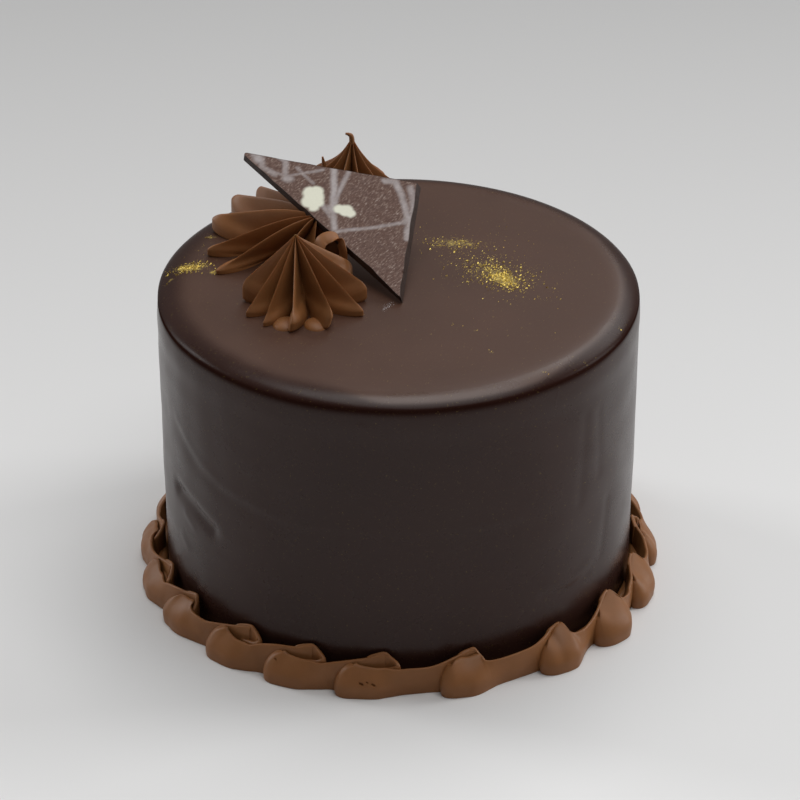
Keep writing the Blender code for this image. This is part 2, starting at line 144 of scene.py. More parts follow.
# Each place of a wave: (mark, mm past it, foot radius, rim radius, rim height, lean along, left, right).
# Left and right are its half widths. A foot's radius of None follows WALL_FOOT.
CLOSED_WAVE = (
    ("peak_behind", -6.5, 77.6, 77.0, 11.7, 0.0, 1.45, 1.25),
    ("peak_behind", -3.6, 77.3, 76.6, 12.4, 0.0, 1.45, 1.25),
    ("peak_behind", -1.0, 77.2, 76.7, 12.5, 0.0, 1.25, 0.95),
    ("peak_behind", -0.6, 78.2, 77.9, 10.7, 0.0, 1.0, 0.9),
    ("peak_behind", -0.4, 79.3, 79.4, 9.4, 0.0, 1.0, 1.0),
    ("peak_behind", -0.8, 79.9, 79.6, 9.2, 0.0, 1.0, 1.2),
    ("start", 4.4, 79.9, 78.8, 9.6, 0.3, 1.3, 1.3),
    ("start", 1.6, 80.2, 79.3, 8.8, 1.2, 1.0, 1.6),
    ("start", -0.1, 80.7, 79.8, 8.9, 2.4, 0.9, 1.9),
    ("start", 0.1, None, 80.2, 9.1, 2.5, 1.0, 2.0),
    ("start", 1.6, None, 79.5, 10.1, 1.5, 1.2, 2.0),
    ("start", 4.6, None, 78.1, 10.9, 0.4, 1.4, 1.9),
    ("peak_behind", -3.8, None, 77.3, 11.9, 0.4, 1.5, 1.9),
    ("peak_behind", -1.1, None, 77.1, 12.5, 0.9, 1.6, 1.8),
    ("peak_behind", 0.5, None, 79.3, 11.2, -0.8, 1.7, 1.7),
    ("peak_behind", 2.0, None, 80.4, 10.0, -0.9, 1.7, 1.6),
    ("peak_behind", 5.4, None, 80.7, 9.5, -0.3, 1.6, 1.5),
    ("next", -4.5, None, 80.3, 9.7, 0.0, 1.5, 1.4),
    ("next", 0.5, None, 79.2, 10.6, 0.0, 1.5, 1.35),
    ("peak", -6.0, 77.8, 77.3, 11.7, 0.0, 1.5, 1.3),
    ("peak", -3.0, 77.3, 76.6, 12.4, 0.0, 1.5, 1.3),
    ("peak", -0.4, 77.2, 76.3, 12.7, -0.4, 1.4, 1.1),
)
# An open wave ends like a closed one
OPEN_WAVE = (
    ("peak_behind", -6.5, 77.6, 76.8, 11.9, 0.0, 1.45, 1.25),
    ("peak_behind", -3.6, 77.3, 76.1, 12.7, 0.0, 1.45, 1.1),
    ("peak_behind", -0.6, 77.2, 75.9, 13.2, 0.0, 1.25, 0.8),
    ("peak_behind", 2.4, 77.4, 76.6, 12.2, -0.8, 1.1, 0.8),
    ("peak_behind", 4.6, 78.6, 78.2, 10.7, -0.9, 1.1, 1.0),
    ("peak_behind", 3.4, 79.0, 78.0, 9.3, -1.0, 0.8, 1.0),
    ("start", 4.6, 78.4, 77.4, 7.0, 0.3, 0.8, 0.9),
    ("start", 1.8, 79.0, 77.6, 7.6, 1.0, 0.8, 1.3),
    ("start", -0.1, 80.4, 78.2, 9.3, 2.4, 0.8, 1.8),
    ("start", 0.1, None, 79.0, 9.3, 2.9, 0.8, 1.9),
    ("start", 1.8, None, 79.1, 9.7, 2.4, 0.8, 2.0),
    ("start", 4.6, None, 79.6, 8.9, 1.2, 0.9, 1.9),
    ("peak_behind", -3.2, None, 80.3, 9.2, 0.0, 1.1, 1.9),
    ("peak_behind", -0.4, None, 80.2, 9.1, 0.0, 1.3, 1.8),
    ("peak_behind", 2.0, None, 80.2, 9.1, 0.0, 1.5, 1.7),
    ("peak_behind", 4.0, None, 80.1, 9.2, 0.0, 1.7, 1.6),
    ("peak_behind", 7.0, None, 79.9, 9.5, 0.0, 1.6, 1.5),
    ("next", -4.5, None, 79.4, 9.9, 0.0, 1.5, 1.4),
    ("next", 0.5, None, 78.4, 10.9, 0.0, 1.5, 1.35),
) + CLOSED_WAVE[19:]
# A wave's dome lifts its start, by this much for each 1 that it is above the flat one
FLAT_DOME = 0.4
DOME_LIFT = 1.2
# The rows where the rim dips behind a peak are left out where they come too near to the row after them
DIP_ROWS = (14, 15, 16)
DIP_END = 17
LEAST_STEP = 1.2
# The outer wall's foot: (mm from the wave's start, radius), and the reach of its bulge
WALL_FOOT = ((0.1, 81.7), (1.6, 82.4), (9.0, 82.6), (14.0, 80.8), (19.0, 79.3), (25.0, 78.7))
BULGE_MIDDLE = 8.0
BULGE_REACH = 9.0
RIM_SHARE_OF_BULGE = 0.3
# How the ribbon is drawn: mm between slices, and the rows where a wave's fold ends and its wall begins
SLICE_SPACING = 0.5
FOLD_END = 9.9
WALL_START = 8.6
# A piece's ends are slimmer and lower over this length, and a fold is a little slimmer all along
SINK_LENGTH = 0.8
SINK_WIDTH = 0.88
SINK_HEIGHT = 0.2
SLIMMER = 0.05
# The rim's half thickness, and the rows where it swells: at its curled end, at its turn and on shut waves
RIM_HALF = 0.5
END_RIM_HALF = 1.1
END_PLACE = 4.0
TURN_RIM_HALF = 1.7
TURN_PLACE = 9.0
TURN_PLACES = 1.3
SHUT_TURN = 0.35
SHUT_RIM_HALF = 1.2
SHUT_PLACE = 12.5
SHUT_PLACES = 3.2
# How late on its way up the ribbon leans
LEAN_IN_POWER = 1.7
SHUT_LEAN_IN_POWER = 3.4
LEAN_ALONG_POWER = 3.4
# The ribbon's outline: its foot's share of the belly's width, the belly's place, how it narrows above the
# belly, its cap's height for each 1 of the rim's half thickness, and the points round it
FOOT_SHARE = 0.7
WIDEST_SHARE = 0.42
EARLY_NARROWING = 0.65
CAP_HEIGHT = 0.9
BODY_STEPS = 12
CAP_STEPS = 3
RIBBON_UNEVENNESS = ((0.16, 17, 21), (0.05, 6, 22))
RUFFLE_SHARP = math.radians(50)
# The low ring of buttercream behind the folds: (radius, height)
BEAD_SIDES = 240
BEAD = ((74.9, 0.3), (74.9, 3.6), (75.8, 4.6), (77.2, 4.6), (78.6, 3.6), (78.6, 0.3))
# Air bubbles that the piping left open: (degrees, height, length, thickness), all tilted alike
BUBBLES = (
    (242.0, 8.0, 1.4, 0.6),
    (262.0, 5.4, 1.7, 0.9),
    (263.3, 5.9, 1.0, 0.5),
    (264.6, 5.2, 1.7, 0.8),
)
BUBBLE_TILT = -25

# The rosettes: sag is how far the ridges hang, ridge how wide they are and valley how far the valleys reach.
# Ribs are (degrees, reach, height of the end), and some have the degrees that their foot curls. Lobes are
# (degrees, distance out, half length, half width, height). Strings are (half thickness at the start and at
# the end, how many times as broad, the broad way, path).
ROSETTES = {
    "rosette_front": {
        "place": (-29.2, -12.4),
        "height": 24.3,
        "lean": (-2.8, 0.8),
        "sag": 0.4,
        "ridge": 0.145,
        "valley": 0.75,
        "ribs": (
            (3, 19.4, 7.0),
            (49, 22.0, 6.8),
            (92, 18.5, 7.0),
            (134, 18.8, 7.0),
            (178, 19.6, 8.2),
            (208, 20.6, 3.2),
            (231, 20.2, 2.6),
            (260, 20.4, 5.4, -3),
            (298, 19.4, 6.4, -8),
            (334, 20.4, 3.4),
        ),
        "lobes": ((248, 15.4, 4.6, 4.2, 2.3), (284, 14.9, 4.4, 4.0, 2.1)),
        "strings": (),
    },
    "rosette_left": {
        "place": (-37.0, 26.0),
        "height": 15.0,
        "lean": (11.5, -7.5),
        "sag": -2.0,
        "ridge": 0.175,
        "valley": 0.95,
        "ribs": (
            (10, 23.5, 6.0),
            (45, 23.5, 7.0),
            (78, 24.5, 8.0),
            (110, 26.0, 10.4),
            (127, 28.0, 8.2),
            (156, 25.0, 6.8),
            (198, 25.0, 4.2),
            (224, 28.6, 2.6),
            (262, 22.0, 3.0),
            (300, 20.0, 4.0),
            (331, 23.0, 6.5),
        ),
        "lobes": ((346, 18.0, 4.2, 2.4, 3.6),),
        "strings": (
            (0.5, 0.45, 5.0, (-0.54, 0.79, 0.27), (
                (12.4, -19.0, 0.5),
                (12.3, -18.9, 7.0),
                (12.3, -18.3, 10.1),
                (13.4, -17.5, 11.6),
                (15.8, -17.0, 12.3),
                (18.0, -17.7, 11.7),
                (19.2, -19.4, 9.9),
                (19.6, -20.0, 7.4),
                (19.7, -20.1, 0.5),
            )),
        ),
    },
    "rosette_back": {
        "place": (-15.7, 53.2),
        "height": 25.4,
        "lean": (0.75, 0.4),
        "sag": 2.7,
        "ridge": 0.155,
        "valley": 0.8,
        "ribs": (
            (8, 18.6, 5.0),
            (49, 17.6, 5.9),
            (88, 16.6, 5.0),
            (118, 14.5, 10.5),
            (138, 17.5, 8.6),
            (166, 19.0, 5.6),
            (207, 19.4, 5.0),
            (248, 19.6, 5.4),
            (289, 19.4, 4.6),
            (329, 19.0, 5.4),
        ),
        "lobes": (),
        "strings": (
            (0.9, 0.3, 1.0, (0, 1, 0), ((-7.9, 0.0, 11.0), (-8.3, 0.0, 14.5), (-8.8, 0.0, 18.2))),
            (0.9, 0.3, 1.0, (0, 1, 0), (
                (0.75, 0.4, 23.0),
                (0.6, 0.4, 25.0),
                (-0.1, 0.4, 26.0),
                (-1.4, 0.4, 26.4),
            )),
        ),
    },
}
# Rings: (share of the reach, of the drop and of the end's height, then the valley's reach and height)
ROSETTE_RINGS = (
    (0.0, 0.0, 1.0, 0.0, 1.0),
    (0.09, 0.10, 1.00, 0.035, 0.84),
    (0.27, 0.28, 1.00, 0.095, 0.60),
    (0.50, 0.52, 1.00, 0.18, 0.39),
    (0.73, 0.76, 1.00, 0.29, 0.21),
    (0.91, 0.94, 0.97, 0.40, 0.09),
    (1.00, 1.00, 0.66, 0.49, 0.03),
    (1.00, 1.00, 0.26, 0.53, 0.010),
    (0.93, 1.00, 0.00, 0.50, 0.00),
)
RING_STEPS = 9
RIB_STEPS = 22
RIDGE_CROWDING = 0.06
LEAST_RIDGE_PLACE = 0.2
FOOT_FROM = 0.7
FOOT_WIDTH_POWER = 1.55
FOOT_POINT_POWER = 1.25
WIDEST_VALLEY = 0.86
SAG_SCALE = 6.75
ROSETTE_SINK = 0.3
ROSETTE_SHARP = math.radians(60)
STRING_SIDES = 14

# The plaque
PLAQUE_TIP = (1.3, -12.9)
PLAQUE_THICKNESS = 2.4
PLAQUE_RIGHT_EDGE = 48.2
PLAQUE_TOP_EDGE = 59.6
PLAQUE_CORNER = math.radians(95.6)
PLAQUE_SLOPE = math.radians(21.5)
PLAQUE_ROLL = math.radians(0.5)
PLAQUE_TURN = math.radians(-6.8)
PLAQUE_INSETS = {"right": 1.1, "upper": 0.25, "lower left": 0.35}
PLAQUE_BLUNTNESS = 0.8
PLAQUE_STEPS = 180
INSET_REACH = 12.0
PLAQUE_UNEVENNESS = ((0.05, 14, 32),)
EDGE_UNEVENNESS = ((0.5, 9, 31),)
PLAQUE_SHARP = math.radians(40)
CHIP_MIDDLE = (0.2, 9.6)
CHIP_SIZES = (0.8, 1.3)
CHIP_REACH = 1.4
CHIP_DEPTH = 0.6
# Pale bands over the plaque: (mm wide, strength, places in mm from the tip, across and up)
MARBLING = (
    (1.5, 0.85, ((-22, 54), (-22, 43), (-22.5, 37), (-21.5, 28.5))),
    (1.1, 0.75, ((-17, 53.5), (-19.5, 46.5), (-21, 41.5), (-22, 37))),
    (1.0, 0.60, ((-21, 27), (-16, 28), (-10, 29), (-4.5, 30), (1, 31.5))),
    (1.5, 0.75, ((-6, 48.5), (-2.5, 48.5), (-0.5, 43), (1, 36), (2, 32), (1.5, 24.5))),
    (1.7, 0.60, ((2.5, 46), (3.5, 38), (2, 31))),
    (1.5, 0.60, ((-48, 59), (-45, 57.5), (-45, 54), (-41, 51))),
    (1.4, 0.65, ((-39.5, 58), (-37.5, 56.5), (-37.5, 50.5))),
    (0.8, 0.55, ((-43, 52.5), (-37, 50.5), (-31.5, 51.5), (-25.5, 53))),
    (0.9, 0.50, ((-34, 54), (-31, 50), (-28.5, 47.5))),
    (1.2, 0.60, ((-26, 39.5), (-23, 33.5))),
    (2.6, 0.80, ((-46.5, 58), (-46, 57.6))),
    (2.2, 0.75, ((-37, 49.5), (-36.5, 49.2))),
    (2.2, 0.80, ((-22.8, 37), (-22.3, 35.5))),
    (2.0, 0.70, ((1, 31.5), (2, 33))),
)
MARBLING_REACH = 1.15
# Cream spots on the plaque: (mm across and up from the tip, radius), and their soft edge
CREAM_SPOTS = (
    (-29.4, 43.2, 2.4),
    (-27.6, 43.8, 2.1),
    (-29.8, 39.6, 2.3),
    (-27.4, 39.4, 2.1),
    (-28.4, 41.5, 3.2),
    (-28.2, 37.2, 1.5),
    (-20.2, 36.6, 1.6),
    (-18.2, 36.0, 2.1),
    (-16.8, 34.8, 1.4),
)
CREAM_EDGE = 1.2
CREAM_AT_EDGE = 0.7
# How far the marbling wanders, across and up
MARBLING_DRIFT = (((0.25, 8, 33), (0.07, 1.8, 35)), ((0.25, 8, 34), (0.07, 1.8, 36)))
FLECK_TURN = math.radians(51)

# What lies on the top: (middle x, middle y, degrees, spread along, spread across, how many, largest mm)
GOLD_PATCHES = (
    (33.0, 3.4, -52, 4.2, 2.3, 460, 1.3),
    (30.5, 7.0, -45, 8.5, 5.0, 480, 1.2),
    (18.5, 27.0, -5, 5.5, 2.2, 190, 1.0),
    (26.0, 17.0, -55, 15.0, 8.0, 230, 0.7),
    (-65.8, 10.9, 20, 3.0, 1.5, 330, 1.3),
    (-58.7, 7.6, 20, 0.9, 0.8, 30, 1.0),
    (-60.1, 31.4, 30, 0.9, 0.8, 16, 1.0),
    (-55.7, 33.5, 30, 0.7, 0.7, 9, 0.9),
    (-62.0, 22.0, 60, 4.0, 3.0, 20, 0.8),
    (-72.0, 3.0, 60, 1.2, 0.5, 9, 0.9),
    (40.0, -2.0, 62, 18.0, 12.0, 60, 0.5),
    (17.0, -26.0, 62, 0.8, 0.5, 3, 0.9),
    (24.2, -30.6, 62, 0.5, 0.5, 2, 0.9),
    (28.5, -44.0, 62, 0.5, 0.5, 3, 0.9),
    (44.5, -55.5, 62, 0.5, 0.5, 4, 1.1),
    (57.2, -47.9, 62, 0.8, 0.5, 3, 0.8),
    (68.8, -27.0, 62, 0.5, 0.5, 3, 0.9),
)
SMUDGE_PATCHES = ((-3.2, -14.6, 62, 1.7, 0.6, 110, 0.6),)
GOLD_DRIFT = math.radians(62)
# The finest powder is full where this many flakes lie in a patch of 1 mm by 1 mm, down to this depth
GOLD_COVER = 30.0
GOLD_DEPTH = 4.0
FLAKE_SIDES = 5
FLAKE_BREADTH = 0.36
FLAKE_TURN_SPREAD = 0.25
FLAKE_EDGE = 1.2
FLAKE_SINK = 0.02
LEAST_FLAKE = 0.22
FLAKE_SIZE_POWER = 2.5
FLAKE_REACHES = (0.6, 1.15)
FLAKE_SWELL = 0.1
MOST_TILT = 0.35

# The stage, in metres
CAMERA_TARGET = (0.0005, 0.0, 0.0599)
CAMERA_ELEVATION = math.radians(29.8)
CAMERA_DISTANCE = 1.55
CAMERA_LENS = 218.3
FLOOR_REACH = 6.0
# The floor's grey is painted darker from front to back between these two places, as painted shade of the
# lights' falloff
FLOOR_FRONT = -0.2
FLOOR_BACK = 0.5
FLOOR_PAINTED_SHADES = ((0.0, 0.785), (0.3, 0.69), (1.0, 0.38))
ROOM_COLOUR = (1.0, 0.98, 0.96, 1)
ROOM_STRENGTH = 0.20
# Each light's place, aim, size and power in watts
LIGHTS = {
    "overhead": ((0.2, 0.1, 1.5), (0, 0, 0.05), (1.8, 1.0), 15.5),
    "behind": ((0.8, 1.4, 1.35), (0, 0, 0.1), (1.4, 0.7), 6.5),
    "left": ((-1.6, 0.8, 0.8), (0, 0, 0.1), (0.5, 1.2), 12),
    "right": ((1.7, 0.45, 0.75), (0, 0, 0.1), (0.6, 1.2), 14.5),
}


def smooth_step(share):
    share = np.clip(share, 0.0, 1.0)
    return share * share * (3 - 2 * share)


def ripple(points, size, seed, waves=9):
    """Smooth seeded unevenness between about -1 and 1, with bumps of about this size."""
    draw = np.random.default_rng(seed)
    ways = draw.normal(size=(waves, points.shape[1]))
    ways /= np.linalg.norm(ways, axis=1)[:, None]
    ways *= 2 * math.pi / (size * draw.uniform(0.7, 1.5, (waves, 1)))
    phases = draw.uniform(0, 2 * math.pi, waves)
    return np.sin(points @ ways.T + phases).mean(axis=1) * math.sqrt(waves) * 0.7


def uneven(points, layers):
    """Several ripples added up."""
    return sum(amount * ripple(points, size, seed) for amount, size, seed in layers)


def through(rows, spacing):
    """A centripetal Catmull-Rom curve through rows whose first two numbers are a place in mm.

    It returns the sampled rows and, for each, its place among the given rows.
    """
    rows = np.asarray(rows, float)
    lead = 2 * rows[0] - rows[1]
    tail = 2 * rows[-1] - rows[-2]
    rows = np.vstack([lead, rows, tail])
    steps = np.linalg.norm(np.diff(rows[:, :2], axis=0), axis=1)
    knots = np.concatenate([[0], np.cumsum(np.sqrt(np.maximum(steps, 0.2)))])
    made, marks = [], []
    for i in range(1, len(rows) - 2):
        t0, t1, t2, t3 = knots[i - 1 : i + 3]
        p0, p1, p2, p3 = rows[i - 1 : i + 3]
        count = max(3, math.ceil(steps[i] / spacing))
        last = i == len(rows) - 3
        for t in np.linspace(t1, t2, count + 1)[: None if last else -1]:
            a1 = (t1 - t) / (t1 - t0) * p0 + (t - t0) / (t1 - t0) * p1
            a2 = (t2 - t) / (t2 - t1) * p1 + (t - t1) / (t2 - t1) * p2
            a3 = (t3 - t) / (t3 - t2) * p2 + (t - t2) / (t3 - t2) * p3
            b1 = (t2 - t) / (t2 - t0) * a1 + (t - t0) / (t2 - t0) * a2
            b2 = (t3 - t) / (t3 - t1) * a2 + (t - t1) / (t3 - t1) * a3
            made.append((t2 - t) / (t2 - t1) * b1 + (t - t1) / (t2 - t1) * b2)
            marks.append(i - 1 + (t - t1) / (t2 - t1))
    return np.array(made), np.array(marks)


def distance_to(points, path):
    """Distance from each flat point to a path of straight parts."""
    nearest = np.full(len(points), np.inf)
    for start, end in zip(path, path[1:]):
        start = np.array(start, float)
        way = np.array(end, float) - start
        along = np.clip((points - start) @ way / (way @ way), 0, 1)
        nearest = np.minimum(nearest, np.linalg.norm(points - start - along[:, None] * way, axis=1))
    return nearest


def around_axis(radius, angle, *height):
    """Points round the upright axis, flat ones unless they are given a height."""
    return np.column_stack([radius * np.cos(angle), radius * np.sin(angle), *height])


# Meshes

def piece(name, points, faces, look):
    """A mesh object from points in mm."""
    mesh = bpy.data.meshes.new(name)
    mesh.from_pydata((np.asarray(points) * MM).tolist(), [], faces)
    mesh.validate()
    mesh.materials.append(look)
    made = bpy.data.objects.new(name, mesh)
    bpy.context.scene.collection.objects.link(made)
    return made


def solid(name, points, faces, look):
    """A smooth closed piece, with its faces turned outwards."""
    made = piece(name, points, faces, look)
    made.data.shade_smooth()
    bm = bmesh.new()
    bm.from_mesh(made.data)
    bmesh.ops.recalc_face_normals(bm, faces=bm.faces)
    bm.to_mesh(made.data)
    bm.free()
    return made


def ring_faces(count, around):
    """Quads between `count` rings of `around` points each."""
    row = np.arange(count - 1)[:, None] * around
    step = np.arange(around)[None, :]
    beside = (step + 1) % around
    quads = np.stack([row + step, row + beside, row + around + beside, row + around + step], -1)
    return quads.reshape(-1, 4).tolist()


def tube(name, rings, look):
    """A solid through rings of points, closed by its first ring and its last."""
    count, around, _ = rings.shape
    faces = ring_faces(count, around)
    faces.append(list(range(around)))
    faces.append(list(range((count - 1) * around, count * around)))
    return solid(name, rings.reshape(-1, 3), faces, look)


def blob(place, turn, tilt, sizes, look):
    """An ellipsoid: degrees that it is turned about the vertical and tilted, and its half sizes in mm."""
    bm = bmesh.new()
    bmesh.ops.create_icosphere(bm, subdivisions=3, radius=MM)
    mesh = bpy.data.meshes.new("blob")
    bm.to_mesh(mesh)
    bm.free()
    mesh.materials.append(look)
    made = bpy.data.objects.new("blob", mesh)
    bpy.context.scene.collection.objects.link(made)
    way = Matrix.Rotation(math.radians(turn), 4, "Z") @ Matrix.Rotation(math.radians(tilt), 4, "X")
    mesh.transform(Matrix.Translation(Vector(place) * MM) @ way @ Matrix.Diagonal((*sizes, 1)))
    return made


def combine(target, others, operation):
    """Joins other objects to the target, or cuts them out of it, and removes them."""
    helpers = bpy.data.collections.new("helpers")
    bpy.context.scene.collection.children.link(helpers)
    for other in others:
        bpy.context.scene.collection.objects.unlink(other)
        helpers.objects.link(other)
    modifier = target.modifiers.new("combine", "BOOLEAN")
    modifier.operation = operation
    modifier.solver = "MANIFOLD"
    modifier.operand_type = "COLLECTION"
    modifier.collection = helpers
    bpy.context.view_layer.update()
    result = bpy.data.meshes.new_from_object(target.evaluated_get(bpy.context.evaluated_depsgraph_get()))
    target.modifiers.remove(modifier)
    target.data = result
    result.name = target.name
    for helper in list(helpers.objects):
        bpy.data.objects.remove(helper)
    bpy.data.collections.remove(helpers)


def set_attribute(made, name, values):
    made.data.attributes.new(name, "FLOAT", "POINT")
    made.data.attributes[name].data.foreach_set("value", np.asarray(values, dtype=np.float32))


# Materials

def new_material(name):
    made = bpy.data.materials.new(name)
    made.use_nodes = True
    return made, made.node_tree, made.node_tree.nodes["Principled BSDF"]


def add(tree, kind, **values):
    node = tree.nodes.new(kind)
    for key, value in values.items():
        if key in node.inputs:
            node.inputs[key].default_value = value
        else:
            setattr(node, key, value)
    return node


def noise(tree, scale, detail=3.0, roughness=0.5, stretch=None):
    """A noise texture in object space, stretched along one axis or more if asked."""
    place = add(tree, "ShaderNodeTexCoord")
    made = add(tree, "ShaderNodeTexNoise", Scale=scale, Detail=detail, Roughness=roughness)
    source = place.outputs["Object"]
    if stretch:
        mapping = add(tree, "ShaderNodeMapping", Scale=stretch[0], Rotation=stretch[1])
        mapping.vector_type = "TEXTURE"
        tree.links.new(source, mapping.inputs["Vector"])
        source = mapping.outputs["Vector"]
    tree.links.new(source, made.inputs["Vector"])
    return made.outputs["Fac"]


def ramp(tree, source, stops):
    made = add(tree, "ShaderNodeValToRGB")
    stops = [(at, (*value, 1)) for at, value in stops]
    made.color_ramp.elements[0].position, made.color_ramp.elements[0].color = stops[0]
    made.color_ramp.elements[1].position, made.color_ramp.elements[1].color = stops[-1]
    for at, value in stops[1:-1]:
        made.color_ramp.elements.new(at).color = value
    tree.links.new(source, made.inputs["Fac"])
    return made.outputs["Color"]


def feed(tree, value, socket):
    """Puts a number, a colour or another node's output into a socket."""
    if isinstance(value, bpy.types.NodeSocket):
        tree.links.new(value, socket)
    else:
        socket.default_value = (*value, 1) if socket.type == "RGBA" else value


def attribute(tree, name):
    """The number that the mesh carries under this name."""
    return add(tree, "ShaderNodeAttribute", attribute_name=name).outputs["Fac"]


def multiply_add(tree, source, times, plus=0.0):
    made = add(tree, "ShaderNodeMath", operation="MULTIPLY_ADD")
    for socket, value in zip(made.inputs, (source, times, plus)):
        feed(tree, value, socket)
    return made.outputs["Value"]


def mixed(tree, share, first, second):
    """A colour on the way from the first to the second."""
    made = add(tree, "ShaderNodeMix", data_type="RGBA")
    tree.links.new(share, made.inputs["Factor"])
    feed(tree, first, made.inputs["A"])
    feed(tree, second, made.inputs["B"])
    return made.outputs["Result"]


def spread(tree, source, low, high):
    """A texture as numbers from low to high."""
    made = add(tree, "ShaderNodeMapRange")
    made.inputs["From Min"].default_value = 0.3
    made.inputs["From Max"].default_value = 0.7
    made.inputs["To Min"].default_value = low
    made.inputs["To Max"].default_value = high
    tree.links.new(source, made.inputs["Value"])
    return made.outputs["Result"]


def bumps(tree, shader, *layers):
    """Stacks bump maps: each layer is (texture, distance in mm, strength)."""
    normal = None
    for source, depth, strength in layers:
        made = add(tree, "ShaderNodeBump", Strength=strength, Distance=depth * MM)
        tree.links.new(source, made.inputs["Height"])
        if normal:
            tree.links.new(normal, made.inputs["Normal"])
        normal = made.outputs["Normal"]
    tree.links.new(normal, shader.inputs["Normal"])


def glaze_material():
    """Dark glaze, painted darker down the side as painted shade, with a painted dark reflection line and the
    finest gold powder where the mesh says "gold".
    """
    made, tree, shader = new_material("poured chocolate glaze")
    side, line, polish, gold = (attribute(tree, name) for name in ("side", "line", "polish", "gold"))
    patchy = noise(tree, 30, 4, 0.55)
    # Painted shade: the second, darker ramp is the glaze as shaded down the shoulder and side
    colour = mixed(
        tree,
        side,
        ramp(tree, patchy, ((0.3, (0.056, 0.0240, 0.0138)), (0.7, (0.067, 0.0290, 0.0168)))),
        ramp(tree, patchy, ((0.3, (0.026, 0.0108, 0.0080)), (0.7, (0.031, 0.0130, 0.0096)))),
    )
    # Painted reflection: a dark line round the glaze just under the shoulder, where it would mirror a dark
    # room
    colour = mixed(tree, multiply_add(tree, line, 0.5), colour, (0.012, 0.0035, 0.0028))
    grain = noise(tree, 1500, 5, 0.75, stretch=((2.2, 1, 1), (0, 0, GOLD_DRIFT)))
    powder = ramp(tree, multiply_add(tree, gold, 0.42, grain), ((0.62, (0, 0, 0)), (0.85, (1, 1, 1))))
    feed(tree, mixed(tree, powder, colour, (0.36, 0.27, 0.075)), shader.inputs["Base Color"])
    satin = spread(tree, noise(tree, 60, 5, 0.6), 0.40, 0.48)
    feed(tree, multiply_add(tree, polish, -0.16, satin), shader.inputs["Roughness"])
    shine = multiply_add(tree, side, -0.2, 0.34)
    shine = multiply_add(tree, polish, 0.1, shine)
    feed(tree, multiply_add(tree, line, -0.26, shine), shader.inputs["Specular IOR Level"])
    bumps(tree, shader, (noise(tree, 70, 1, 0.4), 0.25, 0.1), (noise(tree, 900, 3, 0.6), 0.05, 0.08))
    return made


def buttercream_material():
    made, tree, shader = new_material("piped chocolate buttercream")
    colour = ramp(tree, noise(tree, 120, 4, 0.6), (
        (0.3, (0.205, 0.083, 0.027)),
        (0.7, (0.240, 0.098, 0.033)),
    ))
    feed(tree, colour, shader.inputs["Base Color"])
    feed(tree, spread(tree, noise(tree, 200, 3, 0.6), 0.42, 0.52), shader.inputs["Roughness"])
    shader.inputs["Specular IOR Level"].default_value = 0.3
    shader.inputs["Subsurface Weight"].default_value = 0.15
    shader.inputs["Subsurface Radius"].default_value = (1.0, 0.5, 0.3)
    shader.inputs["Subsurface Scale"].default_value = 1.0 * MM
    bumps(tree, shader, (noise(tree, 260, 3, 0.5), 0.12, 0.25), (noise(tree, 1500, 3, 0.6), 0.03, 0.25))
    return made


def plaque_material():
    """Dark chocolate, with marbling, cream spots and darker cut edges where the mesh says so."""
    made, tree, shader = new_material("marbled dark chocolate")
    fleck = noise(tree, 2100, 3, 0.6, stretch=((4.0, 1, 1), (0, 0, FLECK_TURN)))
    dark = ramp(tree, fleck, (
        (0.38, (0.077, 0.036, 0.026)),
        (0.53, (0.114, 0.061, 0.045)),
        (0.63, (0.178, 0.120, 0.096)),
        (0.76, (0.37, 0.30, 0.265)),
    ))
    patchy = spread(tree, noise(tree, 260, 4, 0.6), 0.55, 1.0)
    marble = multiply_add(tree, attribute(tree, "marble"), patchy)
    colour = mixed(tree, marble, dark, (0.45, 0.415, 0.415))
    colour = mixed(tree, attribute(tree, "cream"), colour, (0.70, 0.70, 0.58))
    colour = mixed(tree, attribute(tree, "cut"), colour, (0.028, 0.014, 0.010))
    feed(tree, colour, shader.inputs["Base Color"])
    shader.inputs["Specular IOR Level"].default_value = 0.2
    feed(tree, spread(tree, noise(tree, 300, 4, 0.7), 0.4, 0.6), shader.inputs["Roughness"])
    bumps(tree, shader, (fleck, 0.12, 0.8), (noise(tree, 1400, 3, 0.6), 0.04, 0.3))
    return made


def gold_material():
    made, tree, shader = new_material("gold dust")
    colour = ramp(tree, noise(tree, 700, 2, 0.6), (
        (0.35, (0.46, 0.31, 0.055)),
        (0.65, (0.80, 0.62, 0.16)),
    ))
    feed(tree, colour, shader.inputs["Base Color"])
    shader.inputs["Metallic"].default_value = 0.75
    shader.inputs["Roughness"].default_value = 0.42
    return made


def sugar_material():
    made, tree, shader = new_material("pale smudge")
    colour = ramp(tree, noise(tree, 900, 3, 0.6), (
        (0.35, (0.30, 0.27, 0.27)),
        (0.65, (0.48, 0.45, 0.45)),
    ))
    feed(tree, colour, shader.inputs["Base Color"])
    shader.inputs["Roughness"].default_value = 0.5
    return made


# The drum

def top_height(x, y):
    """Height of the cake's top above the table: slightly uneven, and drooping towards its front rim."""
    flat = np.column_stack([np.ravel(x), np.ravel(y)])
    outward = np.clip((np.linalg.norm(flat, axis=1) - DROOP_FROM) / DROOP_REACH, 0, 1)
    forward = smooth_step(0.5 - flat[:, 1] / (2 * CAKE_RADIUS))
    return CAKE_HEIGHT + TOP_RISE + uneven(flat, TOP_UNEVENNESS) - DROOP * forward * outward**2


def surface_height(x, y):
    """Height of the glaze at a place on the top or the shoulder."""
    beyond = np.clip((np.hypot(x, y) - CAKE_RADIUS) / SHOULDER_WIDTH + 1, 0, 1)
    height = CAKE_HEIGHT - SHOULDER_DEPTH * (1 - np.sqrt(1 - beyond**2))
    return height - on_top(height) * (CAKE_HEIGHT - top_height(x, y))


def on_top(height):
    """How much a height of the drum's profile belongs to the top, from 1 there to 0 under the shoulder."""
    return smooth_step((height - CAKE_HEIGHT + SHOULDER_DEPTH) / SHOULDER_DEPTH)


